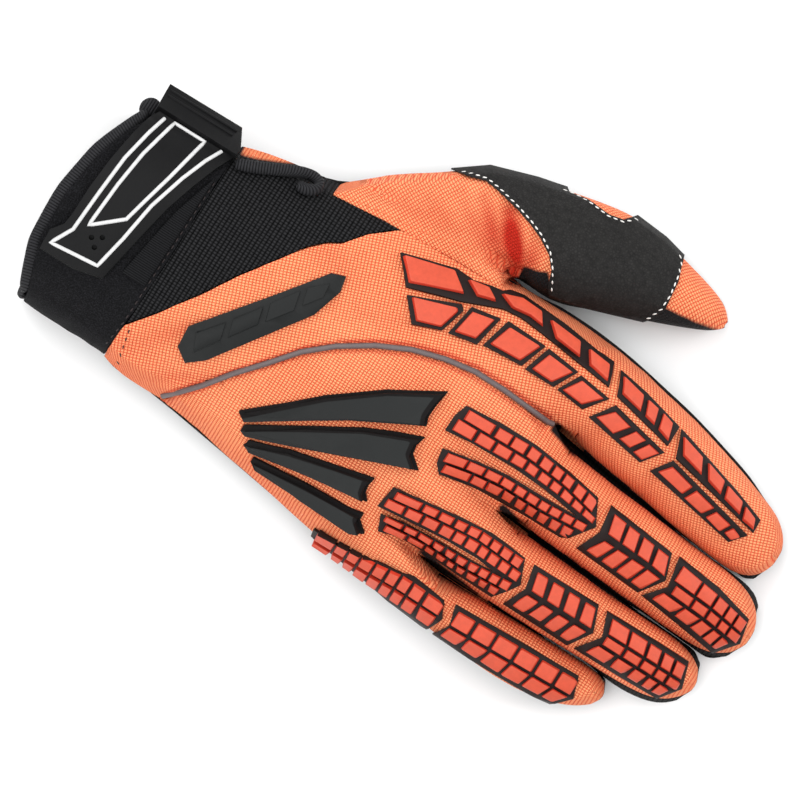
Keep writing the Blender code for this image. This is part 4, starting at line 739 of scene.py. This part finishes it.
def heightOver(group):
    # how far a group of faces stands off the skin, how much it faces away from it, and its area
    middle, area = middleOf(group)
    place, _, _, _ = plainSkin.find_nearest(middle)
    away = middle - place
    return away.length, away.normalized().dot(meanNormal(group)), area


def bevelled(piece, width, segments, degrees):
    soften = piece.modifiers.new("soften", "BEVEL")
    soften.width = width * mm
    soften.segments = segments
    soften.limit_method = "ANGLE"
    soften.angle_limit = math.radians(degrees)
    soften.harden_normals = True
    soften.use_clamp_overlap = True
    return withModifiers(piece)


guardDress = {
    "blockEdge": 0.36, "baseEdge": 0.16, "gap": 0.3,  # in mm
    "steep": 32, "hollow": -20,  # in degrees
    "facing": 0.7, "topHeight": 1.7, "topArea": 1.2, "hollowRim": 0.4,  # what makes a block's top
    "foot": 0.8,  # lower than this is the base
}


def isHollow(edge):
    return edge.is_manifold and edge.calc_face_angle_signed(0) < math.radians(guardDress["hollow"])


def hollowShare(group):
    # how much of a group's rim runs in a hollow
    inside = set(group)
    rim = [edge for face in group for edge in face.edges if not inside.issuperset(edge.link_faces)]
    hollow = sum(edge.calc_length() for edge in rim if isHollow(edge))
    return hollow / sum(edge.calc_length() for edge in rim)


def dressGuard(node):
    # coral blocks on a dark base
    whole = mergedCopy(node)
    groups = islandsOf(whole, guardDress["steep"])
    tops = []
    floors = set()
    for group in groups:
        high, facing, area = heightOver(group)
        if facing < guardDress["facing"]:
            continue
        # walls rise from the base's top, and only fall away from a block's
        if hollowShare(group) > guardDress["hollowRim"]:
            floors.update(group)
        elif high > guardDress["topHeight"] * mm and area > guardDress["topArea"] * mm * mm:
            tops.append(group)
    # a block is all that its top reaches without crossing a hollow edge
    foot = guardDress["foot"] * mm
    low = set(vert for vert in whole.verts if plainSkin.find_nearest(vert.co)[3] < foot)
    bodyFaces = set(face for group in tops for face in group)
    waiting = list(bodyFaces)
    for face in waiting:
        for edge in face.edges:
            if edge.is_manifold and not isHollow(edge):
                for other in edge.link_faces:
                    if other not in bodyFaces and other not in floors and not low.intersection(other.verts):
                        bodyFaces.add(other)
                        waiting.append(other)
    # each block draws in a little, so that more of the base shows
    for group in tops:
        middle, area = middleOf(group)
        reach = math.sqrt(area) / 2
        share = 1 - guardDress["gap"] * mm / reach
        corners = set(vert for face in group for vert in face.verts)
        for vert in corners:
            vert.co = middle + (vert.co - middle) * share
    whole.faces.index_update()
    keep = set(face.index for face in bodyFaces)
    blocks = whole.copy()
    blocks.faces.ensure_lookup_table()
    bmesh.ops.delete(blocks, geom=[f for f in blocks.faces if f.index not in keep], context="FACES")
    bmesh.ops.delete(whole, geom=list(bodyFaces), context="FACES")
    bmesh.ops.holes_fill(whole, edges=[e for e in whole.edges if e.is_boundary], sides=0)
    base = bevelled(keepMesh(node + "Base", whole, [finishes["base"]]), guardDress["baseEdge"], 2, 40)
    pads = bevelled(keepMesh(node + "Blocks", blocks, [finishes["coral"]]), guardDress["blockEdge"], 3, 35)
    # painted shade: a block's sides, which turn away from the skin, take the deeper coral
    sideShade = pads.data.attributes.new("band", "FLOAT", "POINT")
    for vert in pads.data.vertices:
        facing = vert.normal.dot(plainSkin.find_nearest(vert.co)[1])
        sideShade.data[vert.index].value = 1 - smoothStep(facing, 0.5, 0.88)
    for piece in (base, pads):
        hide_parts(node)
        slotOf(node)
    return len(tops)


guardNodes = [name for name in frame["nodes"]
              if name.split("_")[0] in ("index", "middle", "ring", "little")]
print("guards", {name: dressGuard(name) for name in guardNodes})


bladeDress = {
    "edge": 0.4, "grid": 1.1, "band": 2.0, "end": 2.3,
    # each blade's upper side and wide end
    "blade_1": ([(-39, -29), (-20, -11), (-5, 0.5), (11, 9.8)],
                [(11, 9.8), (10.2, 4), (10, 0), (11, -2.5)]),
    "blade_2": ([(-36, -31.5), (-20, -21.8), (-5, -13), (12.5, -5.7)],
                [(12.5, -5.7), (11.5, -9), (12, -12), (16, -15.2)]),
    "blade_3": ([(-32.5, -34.8), (-20, -30.5), (-5, -26.7), (6.2, -24.2)],
                [(6.2, -24.2), (5.5, -27), (6, -29.5), (8, -31.5)]),
    "blade_4": ([(-28.5, -38.5), (-10, -36.7), (9, -35.3)], [(9, -35.3), (9, -37.5), (12.3, -40.3)]),
}


def awayFrom(points, x, y):
    # the distance from a plan line
    return min(onSpan(first, second, x, y)[1] for first, second in zip(points, points[1:]))


def dressBlade(node):
    # slate with a black band along its upper side and its wide end
    upper, end = bladeDress[node]
    piece = keepMesh(node + "Rubber", mergedCopy(node), [finishes["slate"]])
    bevelled(piece, bladeDress["edge"], 3, 35)
    bm = bmesh.new()
    bm.from_mesh(piece.data)
    bmesh.ops.triangulate(bm, faces=bm.faces[:])
    for _ in range(8):
        long = [edge for edge in bm.edges if edge.calc_length() > bladeDress["grid"] * mm]
        if not long:
            break
        bmesh.ops.subdivide_edges(bm, edges=long, cuts=1)
        bmesh.ops.triangulate(bm, faces=bm.faces[:])
    layer = bm.verts.layers.float.new("band")
    for vert in bm.verts:
        x, y = planOf(vert.co)
        vert[layer] = max(bladeDress["band"] - awayFrom(upper, x, y),
                          bladeDress["end"] - awayFrom(end, x, y))
    bm.to_mesh(piece.data)
    bm.free()
    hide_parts(node)
    slotOf(node)
    return piece


for number in (1, 2, 3, 4):
    dressBlade(f"blade_{number}")
print("blades dressed")


def dressPlain(name, node, look, edge=0.0, segments=2, levels=0, uv=None):
    # a CAD piece rounded by a bevel or by subdivision
    bm = mergedCopy(node)
    if levels:
        bmesh.ops.join_triangles(bm, faces=bm.faces[:], angle_face_threshold=0.9, angle_shape_threshold=1.2)
    if uv:
        layer = bm.loops.layers.uv.new("cloth")
        for face in bm.faces:
            for loop in face.loops:
                u, v = uv(*planOf(loop.vert.co))
                loop[layer].uv = (u / mapScale, v / mapScale)
    piece = keepMesh(name, bm, [finishes[look]])
    if levels:
        grown(piece, levels)
    if edge:
        bevelled(piece, edge, segments, 35)
    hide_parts(node)
    slotOf(node)
    return piece


# plan lines of the two rolls, for the ribs of their tape
rimLine = [(-115, -37), (-118, -26), (-121, -15), (-122, -5), (-121.5, 8), (-119, 22), (-113, 34),
           (-106, 40)]
slitPath = [(-80, 34.3), (-75, 36), (-70, 38.5), (-65, 41.2), (-60, 43.3), (-56, 43.6), (-54.2, 41.2),
            (-57, 38.8), (-61, 38.6)]


def alongLine(points):
    # the distance along a plan line of the place nearest to x, y
    def measure(x, y):
        best, found, gone = 1e9, 0, 0
        for first, second in zip(points, points[1:]):
            span = math.dist(first, second)
            t, away = onSpan(first, second, x, y)
            if away < best:
                best, found = away, gone + t * span
            gone += span
        return found, 0
    return measure


dressPlain("cuffBindingRoll", "cuff_binding", "tape", levels=2, uv=alongLine(rimLine))
dressPlain("slitBindingRoll", "slit_binding", "tape", levels=2, uv=alongLine(slitPath))
dressPlain("elasticBandCloth", "elastic_band", "elastic", edge=0.3, uv=lambda x, y: (y, x))
dressPlain("thumbPatchSuede", "thumb_patch", "suede", edge=0.25, uv=lambda x, y: (x, y))
dressPlain("strapTabRubber", "strap_tab", "tab", edge=0.5, segments=3)
dressPlain("backPlateRubber", "back_plate", "slate", edge=0.3)
print("trims dressed")


# Stitches: one small capsule set along a line on the glove's top
def stitchRow(name, rows, node, look, long, gap, wide, high, lift, tree=None):
    bm = bmesh.new()
    for row in rows:
        spans = [math.dist(a, b) for a, b in zip(row, row[1:])]
        gone = long / 2
        while gone < sum(spans) - long / 2:
            left = gone
            for (a, b), span in zip(zip(row, row[1:]), spans):
                if left <= span:
                    break
                left -= span
            x = a[0] + (b[0] - a[0]) * left / span
            y = a[1] + (b[1] - a[1]) * left / span
            place, normal = overSkin(x, y, tree)
            ahead = Vector((b[0] - a[0], b[1] - a[1], 0)).normalized()
            across = normal.cross(ahead).normalized()
            ahead = across.cross(normal).normalized()
            turn = Matrix((ahead, across, normal)).transposed().to_4x4()
            size = Matrix.Diagonal((long / 2, wide / 2, high / 2, 1))
            matrix = Matrix.Translation(place + normal * lift * mm) @ turn @ size
            bmesh.ops.create_uvsphere(bm, u_segments=6, v_segments=5, radius=mm, matrix=matrix)
            gone += long + gap
    piece = keepMesh(name, bm, [finishes[look]])
    slotOf(node)
    return piece


besideCord = 1.7  # where a calm cord's seat is also looked at, in mm


# A round cord laid on the glove along a plan line. A calm one doesn't follow small hollows
def layCord(name, points, node, look, radius, tree=None, lift=0.0, closed=False, step=1.2, calm=0):
    row = points + points[:1] if closed else points
    seats = []
    for (x0, y0), (x1, y1) in zip(row, row[1:]):
        parts = max(int(math.hypot(x1 - x0, y1 - y0) / step), 1)
        for part in range(parts):
            share = part / parts
            x, y = x0 + (x1 - x0) * share, y0 + (y1 - y0) * share
            place, normal = overSkin(x, y, tree)
            if calm:
                off = besideCord / math.hypot(x1 - x0, y1 - y0)
                sides = [overSkin(x + turn * off * (y0 - y1), y + turn * off * (x1 - x0), tree)[0].z
                         for turn in (-1, 1)]
                place.z = max(place.z, sum(sides) / 2)
                normal = Vector((0, 0, 1))
            seats.append(place + normal * lift * mm)
    if not closed:
        place, normal = overSkin(*row[-1], tree)
        seats.append(place + normal * lift * mm)
    for _ in range(calm):
        heights = [seat.z for seat in seats]
        for place in range(1, len(seats) - 1):
            seats[place].z = (heights[place - 1] + heights[place] + heights[place + 1]) / 3
    line = bpy.data.curves.new(name, "CURVE")
    line.dimensions = "3D"
    line.bevel_depth = radius * mm
    line.bevel_resolution = 2
    line.use_fill_caps = True
    spline = line.splines.new("POLY")
    spline.points.add(len(seats) - 1)
    for point, seat in zip(spline.points, seats):
        point.co = (*seat, 1)
    spline.use_cyclic_u = closed
    rope = bpy.data.objects.new(name + "Line", line)
    bpy.context.scene.collection.objects.link(rope)
    graph = bpy.context.evaluated_depsgraph_get()
    graph.update()
    bm = bmesh.new()
    mesh = bpy.data.meshes.new_from_object(rope.evaluated_get(graph))
    bm.from_mesh(mesh)
    bpy.data.objects.remove(rope)
    bpy.data.meshes.remove(mesh)
    piece = keepMesh(name, bm, [finishes[look]])
    slotOf(node)
    return piece


pipingRun = [(-61.6, -37)] + pipingLine[1:-1] + [(43, 18)]
piping = layCord("seamPipingCord", pipingRun, "seam_piping", "piping", 0.9, lift=0.45, calm=10)
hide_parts("seam_piping")


def beside(points, away):
    # a plan line moved sideways, to its right
    moved = []
    for place, (x, y) in enumerate(points):
        x0, y0 = points[max(place - 1, 0)]
        x1, y1 = points[min(place + 1, len(points) - 1)]
        span = math.hypot(x1 - x0, y1 - y0)
        moved.append((x + away * (y1 - y0) / span, y - away * (x1 - x0) / span))
    return moved


tabMarks = {
    "outer": [(-105.3, 34.3), (-107, 28), (-109, 18), (-110, 5), (-110.8, -8.5), (-114.5, -15.5),
              (-98.8, -14), (-96.5, -3), (-94.5, 10), (-91, 22), (-88, 30), (-85.5, 35)],
    "inner": [(-102, 34.8), (-91.3, 34.8), (-94.5, 20), (-97, 10), (-98.8, 2.5), (-107.5, -5), (-106.5, 10),
              (-105, 22)],
    "ridges": [[(-108.3, 42.6), (-84.6, 42.8)], [(-108.2, 40.9), (-85, 41.1)]],
    "holes": [(-104.8, -7.7), (-102, -6), (-102.5, -9.8)],
    "line": 0.62, "ridge": 0.42, "hole": 0.85,
}
tabPiece = bpy.data.objects["strapTabRubber"]
tabTop = treeOf([tabPiece.data])
layCord("tabOuterLine", tabMarks["outer"], "strap_tab", "white", tabMarks["line"], tabTop)
layCord("tabInnerLine", tabMarks["inner"], "strap_tab", "white", tabMarks["line"], tabTop, closed=True)
for place, points in enumerate(tabMarks["ridges"]):
    layCord(f"tabRidge{place + 1}", points, "strap_tab", "tab", tabMarks["ridge"], tabTop)
drills = bmesh.new()
for x, y in tabMarks["holes"]:
    place, normal = overSkin(x, y, tabTop)
    turn = normal.to_track_quat("Z", "Y").to_matrix().to_4x4()
    bmesh.ops.create_cone(drills, cap_ends=True, segments=16, radius1=tabMarks["hole"] * mm,
                          radius2=tabMarks["hole"] * mm, depth=3 * mm,
                          matrix=Matrix.Translation(place) @ turn)
drillMesh = bpy.data.meshes.new("drills")
drills.to_mesh(drillMesh)
drills.free()
drillPiece = bpy.data.objects.new("drills", drillMesh)
bpy.context.scene.collection.objects.link(drillPiece)
cut = tabPiece.modifiers.new("holes", "BOOLEAN")
cut.object = drillPiece
cut.solver = "EXACT"
withModifiers(tabPiece)
bpy.data.objects.remove(drillPiece)
print("tab dressed")

patchLines = [
    [(-21, 68.6), (-17, 69.9), (-13, 70.9), (-8, 70.2), (0, 68.4), (5, 66.9), (10, 64.9), (15, 61.8),
     (18.2, 58), (20, 55), (21.8, 51.6), (22.8, 51.2)],
    [(8, 80.2), (12, 81), (17, 81.2), (24, 80.6), (28.8, 81.5), (31, 83.6), (32.6, 85.2)],
    [(48.4, 82.3), (50.3, 80.4), (51.6, 76), (52.6, 70), (52.4, 65), (50.8, 61), (49.4, 59.5)],
]
stitchRows = {
    # piece: plan lines, CAD node, thread, then a stitch's length, gap, width, height and lift in mm
    "patchStitches": (patchLines, "thumb_patch", "whiteThread", 1.6, 0.6, 0.55, 0.4, 0.05),
    "pipingStitches": ([beside(pipingLine[1:], 1.5)], "seam_piping", "orangeThread",
                       0.9, 0.75, 0.45, 0.4, 0.1),
    "patchFaintStitches": ([[(24, 51.3), (32, 53.4), (41, 56.4), (48, 59.2)]], "thumb_patch", "darkThread",
                           1.6, 0.7, 0.5, 0.35, 0.05),
    "heelStitches": ([[(-80.6, -25), (-79.4, -31), (-78, -37)]], "back_upper_panel", "darkThread",
                     1.7, 0.8, 0.5, 0.4, 0.1),
    "thumbSeamStitches": ([[(-50, 43), (-35, 45.2), (-22, 46.6), (-10, 49.2), (6, 49.2)]], "thumb_panel",
                          "orangeThread", 1.7, 0.8, 0.5, 0.4, 0.1),
    "cuffSeamStitches": ([[(-84.4, -33), (-83.2, -24), (-82.7, 0), (-82.2, 28)]], "cuff", "darkThread",
                         1.7, 0.8, 0.5, 0.4, 0.1),
}
patchTop = treeOf([bpy.data.objects["thumbPatchSuede"].data])
for name, (rows, node, look, *sizes) in stitchRows.items():
    stitchRow(name, rows, node, look, *sizes, tree=patchTop if node == "thumb_patch" else None)
print("stitches laid")

# The roll's turned end beside the tab
rollEnd = {"seat": (-108, 34), "place": (-110.6, 34.6), "under": 4, "radius": 3.4}
ball = bmesh.new()
seat, _ = overSkin(*rollEnd["seat"])
ballSeat = Vector((*plan(*rollEnd["place"]), seat.z - rollEnd["under"] * mm))
bmesh.ops.create_uvsphere(ball, u_segments=24, v_segments=16, radius=rollEnd["radius"] * mm,
                          matrix=Matrix.Translation(ballSeat) @ Matrix.Diagonal((1, 1.05, 0.9, 1)))
ballLayer = ball.loops.layers.uv.new("cloth")
for face in ball.faces:
    for loop in face.loops:
        loop[ballLayer].uv = (loop.vert.co.x / mm / mapScale, 0)
bindingEnd = keepMesh("bindingEnd", ball, [finishes["tape"]])
slotOf("cuff_binding")


# Floor, light and camera
stage = {
    # each lamp's watts, width and place
    "ceiling": (13, 1.6, (-0.1, -0.05, 1.35)),
    "window": (7, 0.9, (-0.7, 0.55, 0.75)),
    "fill": (5, 0.9, (-0.2, -0.9, 0.6)),
    "rim": (5, 0.6, (0.7, 0.6, 0.6)),
    "room": 0.55, "floor": 1.5, "lens": 889.3, "eyeHeight": 6, "eyeTurn": 32,
}


def makeStage():
    bm = bmesh.new()
    bmesh.ops.create_grid(bm, x_segments=1, y_segments=1, size=stage["floor"])
    mesh = bpy.data.meshes.new("floor")
    bm.to_mesh(mesh)
    bm.free()
    paper = Finish("paper", (0.9, 0.9, 0.9), 0.9)
    mesh.materials.append(paper.material)
    floor = bpy.data.objects.new("floor", mesh)
    bpy.context.scene.collection.objects.link(floor)
    floor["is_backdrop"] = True
    for name in ("ceiling", "window", "fill", "rim"):
        power, size, place = stage[name]
        lamp = bpy.data.lights.new(name, "AREA")
        lamp.shape = "RECTANGLE"
        lamp.size = lamp.size_y = size
        lamp.energy = power
        lit = bpy.data.objects.new(name, lamp)
        lit.location = place
        lit.rotation_euler = (Vector((0, 0, 0.02)) - Vector(place)).to_track_quat("-Z", "Y").to_euler()
        bpy.context.scene.collection.objects.link(lit)
    world = bpy.data.worlds.new("room")
    world.use_nodes = True
    world.node_tree.nodes["Background"].inputs["Color"].default_value = (1, 1, 1, 1)
    world.node_tree.nodes["Background"].inputs["Strength"].default_value = stage["room"]
    bpy.context.scene.world = world
    eye = bpy.data.cameras.new("eye")
    eye.sensor_width = 36
    eye.lens = stage["lens"]
    eye.clip_start = 0.05
    view = bpy.data.objects.new("eye", eye)
    view.location = (*plan(0, 0), stage["eyeHeight"])
    view.rotation_euler = (0, 0, math.radians(stage["eyeTurn"]))
    bpy.context.scene.collection.objects.link(view)
    bpy.context.scene.camera = view
    bpy.context.scene.view_settings.view_transform = "Standard"


makeStage()
visualLow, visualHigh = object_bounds()
sizes = {"cad": [list(cadLow), list(cadHigh)], "visual": [list(visualLow), list(visualHigh)]}
print("stage set")
